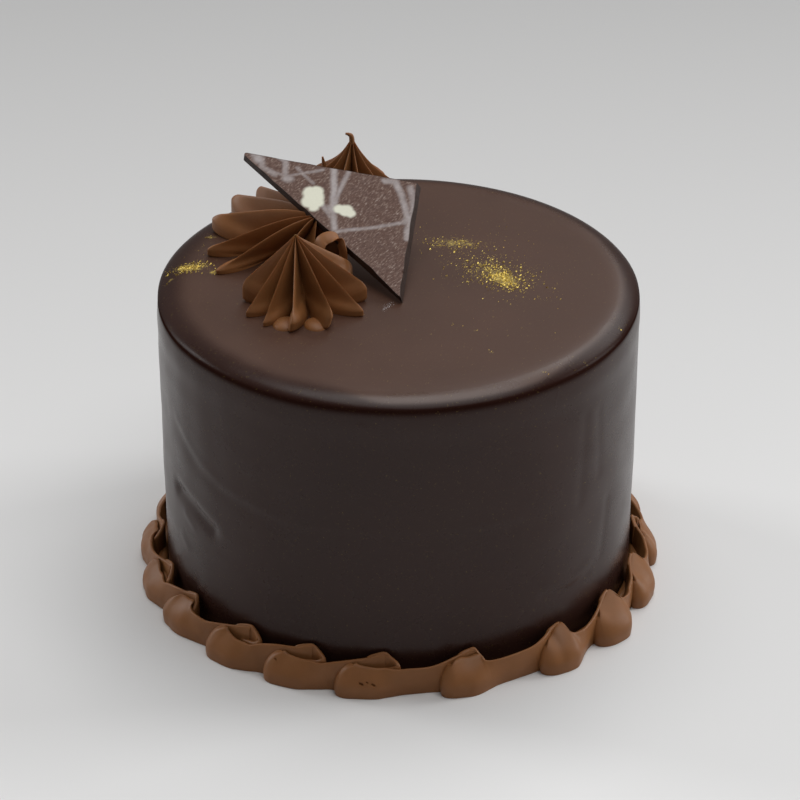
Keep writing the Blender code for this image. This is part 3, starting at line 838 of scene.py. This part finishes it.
def drum_profile():
    """(radius, height) from the middle of the top to the middle of the underside."""
    top_flat = CAKE_RADIUS - SHOULDER_WIDTH
    points = [(radius, CAKE_HEIGHT) for radius in np.linspace(INNERMOST_RADIUS, top_flat, TOP_STEPS)[:-1]]
    for turn in np.linspace(math.pi / 2, 0, SHOULDER_STEPS):
        points.append((
            top_flat + SHOULDER_WIDTH * math.cos(turn),
            CAKE_HEIGHT - SHOULDER_DEPTH * (1 - math.sin(turn)),
        ))
    side_top = CAKE_HEIGHT - LIP_END_DROP
    for height in np.linspace(CAKE_HEIGHT - SHOULDER_DEPTH, FOOT_ROUNDING, SIDE_STEPS)[1:]:
        down = max(0.0, (side_top - height) / (side_top - FOOT_ROUNDING))
        lip = LIP * math.exp(-((CAKE_HEIGHT - LIP_DROP - height) / LIP_HALF) ** 2)
        points.append((CAKE_RADIUS + (CAKE_FOOT_RADIUS - CAKE_RADIUS) * down + lip, height))
    for turn in np.linspace(0, math.pi / 2, FOOT_STEPS)[1:]:
        points.append((
            CAKE_FOOT_RADIUS - FOOT_ROUNDING * (1 - math.cos(turn)),
            FOOT_ROUNDING * (1 - math.sin(turn)),
        ))
    points.extend((radius, 0.0) for radius in UNDERSIDE_RADII)
    return np.array(points)


def build_cake(look):
    profile = drum_profile()
    angle = np.tile(np.linspace(0, 2 * math.pi, DRUM_SIDES, endpoint=False), len(profile))
    radius, height = (np.repeat(column, DRUM_SIDES) for column in profile.T)
    spots = around_axis(radius, angle, height)
    on_side = smooth_step((CAKE_HEIGHT - RELIEF_DROP - height) / RELIEF_REACH) * (height > FOOT_ROUNDING)
    radius = radius + side_relief(spots, angle) * on_side
    lowered = height - on_top(height) * (CAKE_HEIGHT - top_height(spots[:, 0], spots[:, 1]))
    points = around_axis(radius, angle, lowered)
    made = tube("glazed_drum", points.reshape(len(profile), DRUM_SIDES, 3), look)
    set_attribute(made, "gold", gold_share(points))
    # The side's darker glaze colour is painted shade
    set_attribute(made, "side", painted_shade_share(radius, angle, height))
    set_attribute(made, "polish", smooth_step((radius - POLISH_START) / POLISH_LENGTH))
    # A painted dark reflection line just under the shoulder
    set_attribute(made, "line", np.exp(-(((CAKE_HEIGHT - LINE_DROP - height) / LINE_HALF) ** 2)))
    return made


def side_relief(spots, angle):
    """How far the glaze stands out of the side: its unevenness, its ridges and its dents."""
    out = uneven(spots, SIDE_UNEVENNESS)
    unrolled = np.column_stack([angle * CAKE_RADIUS, spots[:, 2]])
    for width, depth, path in CREASES:
        path = [(math.radians(degrees) * CAKE_RADIUS, up) for degrees, up in path]
        out -= depth * np.exp(-((distance_to(unrolled, path) / width) ** 2))
    return out


def gold_share(points):
    """How thick the finest gold powder lies on the top, from 0 to 1."""
    gold = np.zeros(len(points))
    for middle_x, middle_y, turn, along, across, count, _ in GOLD_PATCHES:
        away = points[:, :2] - (middle_x, middle_y)
        turn = math.radians(turn)
        length_way = away @ (math.cos(turn), math.sin(turn)) / along
        side_way = away @ (-math.sin(turn), math.cos(turn)) / across
        thick = min(1.0, count / (along * across * GOLD_COVER))
        gold = np.maximum(gold, thick * np.exp(-(length_way**2 + side_way**2) / 2))
    return gold * (points[:, 2] > CAKE_HEIGHT - GOLD_DEPTH)


def painted_shade_share(radius, angle, height):
    """How much painted shade darkens the glaze to the side's dark colour, from 0 on the top to 1 on the
    side.
    """
    from_front = (np.degrees(angle) - 90) % 360 - 180
    edge = np.full(len(angle), COLOUR_EDGE)
    half = np.full(len(angle), COLOUR_EDGE_HALF)
    behind = smooth_step((-from_front - COLOUR_EDGE_BEHIND[0]) / COLOUR_EDGE_BEHIND[1])
    for way, (start, length, inward, softer) in ((-1, COLOUR_EDGE_LEFT), (1, COLOUR_EDGE_RIGHT)):
        share = smooth_step((way * from_front - start) / length) + way * behind
        edge -= inward * share
        half += softer * share
    share = smooth_step((radius - edge + half) / (2 * half))
    return np.where(height > CAKE_HEIGHT - SHOULDER_DEPTH, share, 1.0)


# The ruffle border

def all_waves():
    """The waves in front, and behind them waves with drawn widths and shapes."""
    draw = random.Random(RUFFLE_SEED)
    reached = WAVES_IN_FRONT[-1][0]
    left_over = WAVES_IN_FRONT[0][0] + 360 - reached
    weights = [1 + draw.uniform(-PITCH_SPREAD, PITCH_SPREAD) for _ in range(WAVES_BEHIND + 1)]
    waves = list(WAVES_IN_FRONT)
    for weight in weights[:-1]:
        reached += weight / sum(weights) * left_over
        drawn = (draw.uniform(*ends) for ends in (OPENNESS_LIMITS, OVERLAP_LIMITS, BULGE_LIMITS))
        waves.append((reached, *drawn, DOME_BEHIND))
    return waves


def wall_foot(along, bulge):
    """Radius of the outer wall's foot at a place along its wave."""
    radius = np.interp(along, [row[0] for row in WALL_FOOT], [row[1] for row in WALL_FOOT])
    return radius + bulge * max(0.0, 1 - ((along - BULGE_MIDDLE) / BULGE_REACH) ** 2)


def wave_rows(pitch, wave, overlap, swell):
    """(along, foot radius, rim radius, rim height, lean, left, right) of a wave's places."""
    _, openness, peak_behind, bulge, dome = wave
    marks = {"start": 0, "peak_behind": peak_behind, "next": pitch, "peak": pitch + overlap}
    rows = []
    for i, (closed, opened) in enumerate(zip(CLOSED_WAVE, OPEN_WAVE)):
        mark, along, foot, *closed_shape = closed
        along += marks[mark] + (opened[1] - along) * openness
        rim, height, lean, left, right = (
            low + (high - low) * openness for low, high in zip(closed_shape, opened[3:])
        )
        if foot is None:
            foot = wall_foot(along, bulge)
            if i in DIP_ROWS:
                rim += RIM_SHARE_OF_BULGE * bulge
        else:
            foot += (opened[2] - foot) * openness
        if mark in ("start", "next"):
            height *= swell
        if mark == "start":
            lean *= dome
            height += DOME_LIFT * (dome - FLAT_DOME)
        rows.append((along, foot, rim, height, lean, left, right))
    latest = rows[DIP_END][0] - LEAST_STEP
    return np.array([row for i, row in enumerate(rows) if i not in DIP_ROWS or row[0] < latest])


def in_plan(start, along, radius):
    """Flat places at a radius, so many mm on from where a wave begins."""
    return around_axis(radius, math.radians(start) + along / BORDER_RADIUS)


def half_width(up, widest, rim_half, cap_at):
    """The ribbon's half width at a share of its height, for a side this wide at its belly."""
    low = FOOT_SHARE + (1 - FOOT_SHARE) * np.sin(math.pi / 2 * np.clip(up / WIDEST_SHARE, 0, 1))
    fall = np.clip((up - WIDEST_SHARE) / (cap_at - WIDEST_SHARE), 0, 1)
    return widest * low + (rim_half - widest) * fall * (EARLY_NARROWING + (1 - EARLY_NARROWING) * fall)


def ribbon_piece(name, shape, look):
    """A tube from rows of foot x and y, rim x and y, height, left, right, rim left, rim right and power."""
    foot, rim, height, left, right = shape[:, :2], shape[:, 2:4], shape[:, 4], shape[:, 5], shape[:, 6]
    rim_left = np.minimum(shape[:, 7], left)
    rim_right = np.minimum(shape[:, 8], right)
    outward = foot / np.linalg.norm(foot, axis=1)[:, None]
    lean_in = ((rim - foot) * outward).sum(axis=1)[:, None] * outward
    lean_along = rim - foot - lean_in
    ahead = np.gradient(foot, axis=0)
    ahead /= np.linalg.norm(ahead, axis=1)[:, None]
    rightward = np.column_stack([ahead[:, 1], -ahead[:, 0]])
    cap_at = 1 - np.maximum(rim_left, rim_right) * CAP_HEIGHT / height
    outline = []
    for share in np.linspace(0, 1, BODY_STEPS + 1):
        up = cap_at * share
        outline.append((up, half_width(up, right, rim_right, cap_at)))
    for turn in np.linspace(0, math.pi, 2 * CAP_STEPS + 1)[1:-1]:
        rim_half = rim_right if turn < math.pi / 2 else rim_left
        outline.append((cap_at + (1 - cap_at) * math.sin(turn), rim_half * math.cos(turn)))
    for share in np.linspace(1, 0, BODY_STEPS + 1):
        up = cap_at * share
        outline.append((up, -half_width(up, left, rim_left, cap_at)))
    rings = []
    for up, across in outline:
        flat = foot + lean_in * (up ** shape[:, 9])[:, None] + lean_along * (up**LEAN_ALONG_POWER)[:, None]
        flat = flat + rightward * across[:, None]
        rings.append(np.column_stack([flat, up * height]))
    rings = np.stack(rings, axis=1)
    stretch = 1 + uneven(rings.reshape(-1, 3), RIBBON_UNEVENNESS) / BORDER_RADIUS
    rings[:, :, :2] *= stretch.reshape(*rings.shape[:2], 1)
    return tube(name, rings, look)


def sunk(shape, at_start, slimmer):
    """Draws in one end of a ribbon, so that it sinks into the piece beside it, and slims all of it."""
    steps = np.linalg.norm(np.diff(shape[:, :2], axis=0), axis=1)
    reached = np.concatenate([[0], np.cumsum(steps)])
    inward = reached if at_start else reached[-1] - reached
    share = smooth_step(inward / SINK_LENGTH)
    shape = shape.copy()
    shape[:, 4] -= slimmer + SINK_HEIGHT * (1 - share)
    for side in (5, 6):
        shape[:, side] = (shape[:, side] - slimmer) * (SINK_WIDTH + (1 - SINK_WIDTH) * share)
    return shape


def build_ruffle(look):
    draw = random.Random(RUFFLE_SEED + 1)
    waves = all_waves()
    made = []
    for i, wave in enumerate(waves):
        start = wave[0]
        next_start, _, overlap, *_ = waves[(i + 1) % len(waves)]
        pitch = math.radians((next_start - start) % 360) * BORDER_RADIUS
        rows = wave_rows(pitch, wave, overlap, draw.uniform(*SWELL_LIMITS))
        along, foot, rim, height, lean, left, right = rows.T
        table = np.column_stack([
            in_plan(start, along, foot),
            in_plan(start, along + lean, rim),
            height,
            left,
            right,
        ])
        shape, marks = through(table, SLICE_SPACING)
        at_end = np.exp(-(((marks - END_PLACE) / TURN_PLACES) ** 2))
        at_turn = np.exp(-(((marks - TURN_PLACE) / TURN_PLACES) ** 2))
        shut = (1 - wave[1]) * np.exp(-(((marks - SHUT_PLACE) / SHUT_PLACES) ** 4))
        shape = np.column_stack([
            shape,
            RIM_HALF + (END_RIM_HALF - RIM_HALF) * at_end * wave[1] + (SHUT_RIM_HALF - RIM_HALF) * shut,
            RIM_HALF + (TURN_RIM_HALF - RIM_HALF) * at_turn * (SHUT_TURN + (1 - SHUT_TURN) * wave[1]),
            LEAN_IN_POWER + (SHUT_LEAN_IN_POWER - LEAN_IN_POWER) * shut,
        ])
        fold = shape[marks <= FOLD_END]
        wall = shape[marks >= WALL_START]
        fold = sunk(sunk(fold, True, SLIMMER), False, 0)
        wall = sunk(sunk(wall, False, 0), True, 0)
        made.append(ribbon_piece(f"fold_{i}", fold, look))
        made.append(ribbon_piece(f"wall_{i}", wall, look))
    made.append(inner_bead(look))
    ruffle = made[0]
    ruffle.name = "piped_ruffle"
    combine(ruffle, made[1:], "UNION")
    bpy.context.view_layer.update()
    combine(ruffle, [bubble(ruffle, *row, look) for row in BUBBLES], "DIFFERENCE")
    ruffle.data.shade_smooth()
    ruffle.data.set_sharp_from_angle(angle=RUFFLE_SHARP)
    return ruffle


def inner_bead(look):
    """The low ring of buttercream between the folds and the drum."""
    angles = np.linspace(0, 2 * math.pi, BEAD_SIDES, endpoint=False)
    rings = [around_axis(radius, angles, np.full(BEAD_SIDES, height)) for radius, height in BEAD]
    count = len(BEAD) * BEAD_SIDES
    faces = [[point % count for point in face] for face in ring_faces(len(BEAD) + 1, BEAD_SIDES)]
    return solid("inner_bead", np.concatenate(rings), faces, look)


def bubble(ruffle, angle, height, length, thickness, look):
    """An ellipsoid that is half sunk in the outside of the ruffle."""
    outward = Vector((math.cos(math.radians(angle)), math.sin(math.radians(angle)), 0))
    outside = (outward * 2 * BORDER_RADIUS + Vector((0, 0, height))) * MM
    _, place, _, _ = ruffle.ray_cast(outside, -outward)
    return blob(place / MM, angle, BUBBLE_TILT, (thickness, length / 2, thickness / 2), look)


# The rosettes

def rosette_rings():
    """The ring table drawn out smoothly from the apex to the foot."""
    rings = np.array(ROSETTE_RINGS)
    marks = np.linspace(0, len(rings) - 1, (len(rings) - 1) * RING_STEPS + 1)
    return np.column_stack([smooth_between(column, marks) for column in rings.T])[1:]


def smooth_between(values, marks):
    """A monotone cubic through values at 0, 1, 2 and so on."""
    values = np.asarray(values, float)
    slopes = np.diff(values)
    tangents = np.zeros_like(values)
    inner = slopes[:-1] * slopes[1:] > 0
    tangents[1:-1][inner] = 2 * (slopes[:-1] * slopes[1:])[inner] / (slopes[:-1] + slopes[1:])[inner]
    tangents[0], tangents[-1] = slopes[0], slopes[-1]
    i = np.clip(np.floor(marks).astype(int), 0, len(values) - 2)
    t = marks - i
    return (
        values[i] * (2 * t**3 - 3 * t**2 + 1)
        + tangents[i] * (t**3 - 2 * t**2 + t)
        + values[i + 1] * (3 * t**2 - 2 * t**3)
        + tangents[i + 1] * (t**3 - t**2)
    )


def ridge_profile(near, width):
    """A rounded ridge from 1 at its top to 0 in the valley, for shares of the way between them."""
    valley = 1 / (1 + width**-2)
    return (1 / (1 + (near / width) ** 2) - valley) / (1 - valley)


def around_ribs(ribs):
    """Angles, reaches, end heights, shares of the way to a valley and curls, for points round a rosette."""
    rows = []
    for i, (angle, reach, end, *curl) in enumerate(ribs):
        next_angle, next_reach, next_end, *next_curl = ribs[(i + 1) % len(ribs)]
        span = (next_angle - angle) % 360
        for share in np.linspace(0, 1, RIB_STEPS, endpoint=False):
            share = share - RIDGE_CROWDING * math.sin(4 * math.pi * share)
            ease = float(smooth_step(share))
            rows.append((
                math.radians(angle + span * share),
                reach + (next_reach - reach) * ease,
                end + (next_end - end) * ease,
                2 * min(share, 1 - share),
                math.radians(sum(curl if share < 0.5 else next_curl)),
            ))
    return np.array(rows).T


def build_rosette(name, shape, look):
    angles, reaches, ends, from_ridge, curls = around_ribs(shape["ribs"])
    height = shape["height"]
    levels = []
    for ridge_out, drop, end_share, valley_out, valley_up in rosette_rings():
        at_foot = drop > 0.999
        blend = 1.0 if at_foot else float(smooth_step((ridge_out - FOOT_FROM) / (1 - FOOT_FROM)))
        crest = ridge_profile(from_ridge, shape["ridge"] / max(ridge_out, LEAST_RIDGE_PLACE))
        rounded = np.maximum(0, 1 - from_ridge**FOOT_WIDTH_POWER) ** FOOT_POINT_POWER
        fin = crest + (rounded - crest) * blend
        ridge_up = (height + (ends - height) * drop) * end_share
        ridge_up -= 0 if at_foot else shape["sag"] * SAG_SCALE * ridge_out * (1 - ridge_out) ** 2
        valley = min(valley_out * shape["valley"], WIDEST_VALLEY)
        out = reaches * (valley + (ridge_out - valley) * fin)
        up = valley_up * height * (1 - fin) + ridge_up * fin
        lean = np.array([*shape["lean"], 0]) * (0 if at_foot else 1 - ridge_out)
        levels.append(around_axis(out, angles + curls * fin * (1 - end_share), up) + lean)
    base = np.array([*shape["place"], CAKE_HEIGHT - ROSETTE_SINK])
    apex = base + np.array([*shape["lean"], height])
    points = np.vstack([np.concatenate(levels) + base, apex, base])
    around = len(angles)
    faces = ring_faces(len(levels), around)
    top, low = len(points) - 2, len(points) - 1
    last = (len(levels) - 1) * around
    for i in range(around):
        j = (i + 1) % around
        faces.append([top, j, i])
        faces.append([low, last + i, last + j])
    made = solid(name, points, faces, look)
    extras = []
    for angle, out, *sizes in shape["lobes"]:
        at = base + out * np.array([math.cos(math.radians(angle)), math.sin(math.radians(angle)), 0])
        extras.append(blob(at, angle, 0, sizes, look))
    for *sizes, path in shape["strings"]:
        extras.append(string(np.array(path) + base, *sizes, look))
    if extras:
        combine(made, extras, "UNION")
    for vertex in made.data.vertices:
        vertex.co.z = max(vertex.co.z, base[2] * MM)
    made.data.shade_smooth()
    made.data.set_sharp_from_angle(angle=ROSETTE_SHARP)
    return made


def string(path, first, last, breadth, broad_way, look):
    """A thread of buttercream that thins out towards its end, and is so many times as broad as thick."""
    rows, marks = through(path, SLICE_SPACING)
    turns = np.linspace(0, 2 * math.pi, STRING_SIDES, endpoint=False)
    rings = []
    for i, spot in enumerate(rows):
        ahead = Vector(rows[min(i + 1, len(rows) - 1)] - rows[max(i - 1, 0)]).normalized()
        beside = ahead.cross(Vector(broad_way)).normalized()
        above = beside.cross(ahead)
        radius = first + (last - first) * (marks[i] / marks[-1]) ** 2
        around = np.outer(np.cos(turns), beside) + breadth * np.outer(np.sin(turns), above)
        rings.append(spot + around * radius)
    return tube("string", np.array(rings), look)


# The plaque

def plaque_corners():
    """The plaque's tip at the front, its corner at the right and its far corner at the left."""
    right_way = np.array([math.sin(-PLAQUE_TURN), math.cos(PLAQUE_TURN)])
    upper_angle = math.pi / 2 + PLAQUE_TURN + math.pi - PLAQUE_CORNER
    upper_way = np.array([math.cos(upper_angle), math.sin(upper_angle)])
    corner = right_way * PLAQUE_RIGHT_EDGE
    return np.zeros(2), corner, corner + upper_way * PLAQUE_TOP_EDGE


def triangle_grid(steps):
    """A triangle's points as shares of the way along two sides, its faces and the points of its border."""
    places = [(i, j) for i in range(steps + 1) for j in range(steps + 1 - i)]
    index = {place: number for number, place in enumerate(places)}
    faces = []
    for i, j in places:
        if i + j < steps:
            faces.append([index[i, j], index[i + 1, j], index[i, j + 1]])
        if i + j < steps - 1:
            faces.append([index[i + 1, j], index[i + 1, j + 1], index[i, j + 1]])
    border = [index[i, 0] for i in range(steps)]
    border += [index[steps - j, j] for j in range(steps)]
    border += [index[0, steps - j] for j in range(steps)]
    return np.array(places) / steps, faces, border


def build_plaque(look):
    tip, corner, far = plaque_corners()
    shares, faces, border = triangle_grid(PLAQUE_STEPS)
    low_flat = blunted(tip + shares @ np.array([corner - tip, far - tip]), far, tip, corner)
    edges = {"right": (tip, corner), "upper": (corner, far), "lower left": (far, tip)}
    top_flat = low_flat.copy()
    wave = 1 + uneven(low_flat, EDGE_UNEVENNESS)
    for edge, (start, end) in edges.items():
        way = (end - start) / np.linalg.norm(end - start)
        inward = np.array([-way[1], way[0]])
        depth = (low_flat - start) @ inward
        push = PLAQUE_INSETS[edge] * np.clip(1 - depth / INSET_REACH, 0, 1) * wave
        top_flat += push[:, None] * inward
    away = np.linalg.norm((top_flat - CHIP_MIDDLE) / CHIP_SIZES, axis=1)
    surface = PLAQUE_THICKNESS - CHIP_DEPTH * smooth_step(CHIP_REACH - away)
    surface = surface + uneven(top_flat, PLAQUE_UNEVENNESS)
    count = len(low_flat)
    top = np.column_stack([top_flat, surface])
    low = np.column_stack([low_flat, np.zeros(count)])
    faces += [[count + point for point in reversed(face)] for face in faces]
    for a, b in zip(border, border[1:] + border[:1]):
        faces.append([a, count + a, count + b, b])
    made = solid("marbled_plaque", np.vstack([top, low]), faces, look)
    turn = Matrix.Rotation(PLAQUE_ROLL, 4, "Y") @ Matrix.Rotation(PLAQUE_SLOPE, 4, "X")
    made.data.transform(Matrix.Translation(Vector((*PLAQUE_TIP, CAKE_HEIGHT + GAP)) * MM) @ turn)
    lowest = min(vertex.co.z for vertex in made.data.vertices)
    made.data.transform(Matrix.Translation((0, 0, (CAKE_HEIGHT + GAP) * MM - lowest)))
    made.data.set_sharp_from_angle(angle=PLAQUE_SHARP)
    marble, cream = plaque_pattern(top_flat)
    cut = np.zeros(2 * count)
    cut[border] = 1
    cut[count:] = 1
    set_attribute(made, "marble", np.concatenate([marble, np.zeros(count)]))
    set_attribute(made, "cream", np.concatenate([cream, np.zeros(count)]))
    set_attribute(made, "cut", cut)
    return made


def plaque_pattern(flat):
    """How much of the pale marbling and of the cream shows at each place, from 0 to 1."""
    warped = flat + np.column_stack([uneven(flat, layers) for layers in MARBLING_DRIFT])
    marble = np.zeros(len(flat))
    for width, strength, path in MARBLING:
        away = distance_to(warped, path)
        marble = np.maximum(marble, strength * smooth_step(MARBLING_REACH - away / width))
    cream = np.zeros(len(flat))
    for x, y, radius in CREAM_SPOTS:
        away = np.hypot(warped[:, 0] - x, warped[:, 1] - y)
        cream = np.maximum(cream, smooth_step(CREAM_AT_EDGE + (radius - away) / CREAM_EDGE))
    return marble, cream


def blunted(flat, corner, first, second):
    """Rounds off the triangle at one corner, given the two others."""
    ways = [(other - corner) / np.linalg.norm(other - corner) for other in (first, second)]
    middle_way = (ways[0] + ways[1]) / np.linalg.norm(ways[0] + ways[1])
    half_angle = math.acos(float(ways[0] @ ways[1])) / 2
    middle = corner + middle_way * PLAQUE_BLUNTNESS / math.sin(half_angle)
    tangent = PLAQUE_BLUNTNESS / math.tan(half_angle)
    away = flat - middle
    beyond = ((flat - corner) @ middle_way < tangent * math.cos(half_angle))
    length = np.linalg.norm(away, axis=1)
    share = np.where(beyond & (length > PLAQUE_BLUNTNESS), PLAQUE_BLUNTNESS / np.maximum(length, 1e-6), 1.0)
    return middle + away * share[:, None]


# Gold dust and the pale smudge

def flakes(name, patches, look, seed, thickness):
    """Small flat closed flakes with uneven outlines, all drawn out one way, scattered on the cake's top."""
    draw = np.random.default_rng(seed)
    points, faces = [], []
    for middle_x, middle_y, patch_turn, along, across, count, largest in patches:
        patch_turn = math.radians(patch_turn)
        for _ in range(count):
            length_way = draw.normal() * along
            side_way = draw.normal() * across
            x = middle_x + length_way * math.cos(patch_turn) - side_way * math.sin(patch_turn)
            y = middle_y + length_way * math.sin(patch_turn) + side_way * math.cos(patch_turn)
            if math.hypot(x, y) > CAKE_RADIUS - FLAKE_EDGE:
                continue
            size = largest * (LEAST_FLAKE + (1 - LEAST_FLAKE) * draw.random() ** FLAKE_SIZE_POWER)
            turn = GOLD_DRIFT + draw.normal() * FLAKE_TURN_SPREAD
            corners = np.linspace(0, 2 * math.pi, FLAKE_SIDES, endpoint=False) + draw.uniform(0, 1)
            reach = size / 2 * draw.uniform(*FLAKE_REACHES, FLAKE_SIDES)
            ring = np.column_stack([reach * np.cos(corners), FLAKE_BREADTH * reach * np.sin(corners)])
            ring = ring @ np.array([[math.cos(turn), math.sin(turn)], [-math.sin(turn), math.cos(turn)]])
            ring += (x, y)
            low = surface_height(ring[:, 0], ring[:, 1]) - FLAKE_SINK
            tilt = draw.uniform(0, MOST_TILT) * size * np.cos(corners - draw.uniform(0, 2 * math.pi))
            high = low + thickness + FLAKE_SWELL * size + np.maximum(0, tilt)
            start = len(points)
            points.extend(np.column_stack([ring, low]))
            points.extend(np.column_stack([ring, high]))
            faces.append([start + i for i in reversed(range(FLAKE_SIDES))])
            faces.append([start + FLAKE_SIDES + i for i in range(FLAKE_SIDES)])
            sides = ring_faces(2, FLAKE_SIDES)
            faces.extend([start + point for point in face] for face in sides)
    return piece(name, points, faces, look)


# The stage

def build_stage():
    scene = bpy.context.scene
    scene.view_settings.view_transform = "Standard"
    camera_data = bpy.data.cameras.new("camera")
    camera_data.lens = CAMERA_LENS
    camera = bpy.data.objects.new("camera", camera_data)
    back = Vector((0, -math.cos(CAMERA_ELEVATION), math.sin(CAMERA_ELEVATION))) * CAMERA_DISTANCE
    camera.location = Vector(CAMERA_TARGET) + back
    camera.rotation_euler = (math.pi / 2 - CAMERA_ELEVATION, 0, 0)
    scene.collection.objects.link(camera)
    scene.camera = camera
    add_floor()
    world = bpy.data.worlds.new("room")
    world.use_nodes = True
    world.node_tree.nodes["Background"].inputs["Color"].default_value = ROOM_COLOUR
    world.node_tree.nodes["Background"].inputs["Strength"].default_value = ROOM_STRENGTH
    scene.world = world
    for name, light in LIGHTS.items():
        add_light(name, *light)


def add_floor():
    look, tree, shader = new_material("pale floor")
    place = add(tree, "ShaderNodeTexCoord")
    parts = add(tree, "ShaderNodeSeparateXYZ")
    back = add(tree, "ShaderNodeMapRange")
    back.inputs["From Min"].default_value = FLOOR_FRONT
    back.inputs["From Max"].default_value = FLOOR_BACK
    tree.links.new(place.outputs["Object"], parts.inputs["Vector"])
    tree.links.new(parts.outputs["Y"], back.inputs["Value"])
    # Painted shade: the floor's grey darkens from front to back
    shade = ramp(tree, back.outputs["Result"], [(at, (grey, grey, grey)) for at, grey in FLOOR_PAINTED_SHADES])
    feed(tree, shade, shader.inputs["Base Color"])
    shader.inputs["Roughness"].default_value = 0.9
    mesh = bpy.data.meshes.new("floor")
    corners = [(x * FLOOR_REACH, y * FLOOR_REACH, 0) for x, y in ((-1, -1), (1, -1), (1, 1), (-1, 1))]
    mesh.from_pydata(corners, [], [(0, 1, 2, 3)])
    mesh.materials.append(look)
    floor = bpy.data.objects.new("floor", mesh)
    bpy.context.scene.collection.objects.link(floor)


def add_light(name, place, aim, size, power):
    data = bpy.data.lights.new(name, "AREA")
    data.shape = "RECTANGLE"
    data.size, data.size_y = size
    data.energy = power
    light = bpy.data.objects.new(name, data)
    light.location = place
    light.rotation_euler = (Vector(aim) - Vector(place)).to_track_quat("-Z", "Y").to_euler()
    bpy.context.scene.collection.objects.link(light)


def main():
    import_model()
    build_stage()
    glaze = glaze_material()
    buttercream = buttercream_material()
    made = [(build_cake(glaze), "cake", "glaze")]
    made.append((build_ruffle(buttercream), "ruffle_border", "buttercream"))
    for node, shape in ROSETTES.items():
        made.append((build_rosette(f"piped_{node}", shape, buttercream), node, "buttercream"))
    made.append((build_plaque(plaque_material()), "plaque", "plaque"))
    scattered = (
        flakes("gold_dust", GOLD_PATCHES, gold_material(), seed=41, thickness=0.02),
        flakes("pale_smudge", SMUDGE_PATCHES, sugar_material(), seed=42, thickness=0.015),
    )
    for loose in scattered:
        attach(loose, "root")
    for dressed, node, slot in made:
        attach(dressed, "root")
        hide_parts(node)


main()
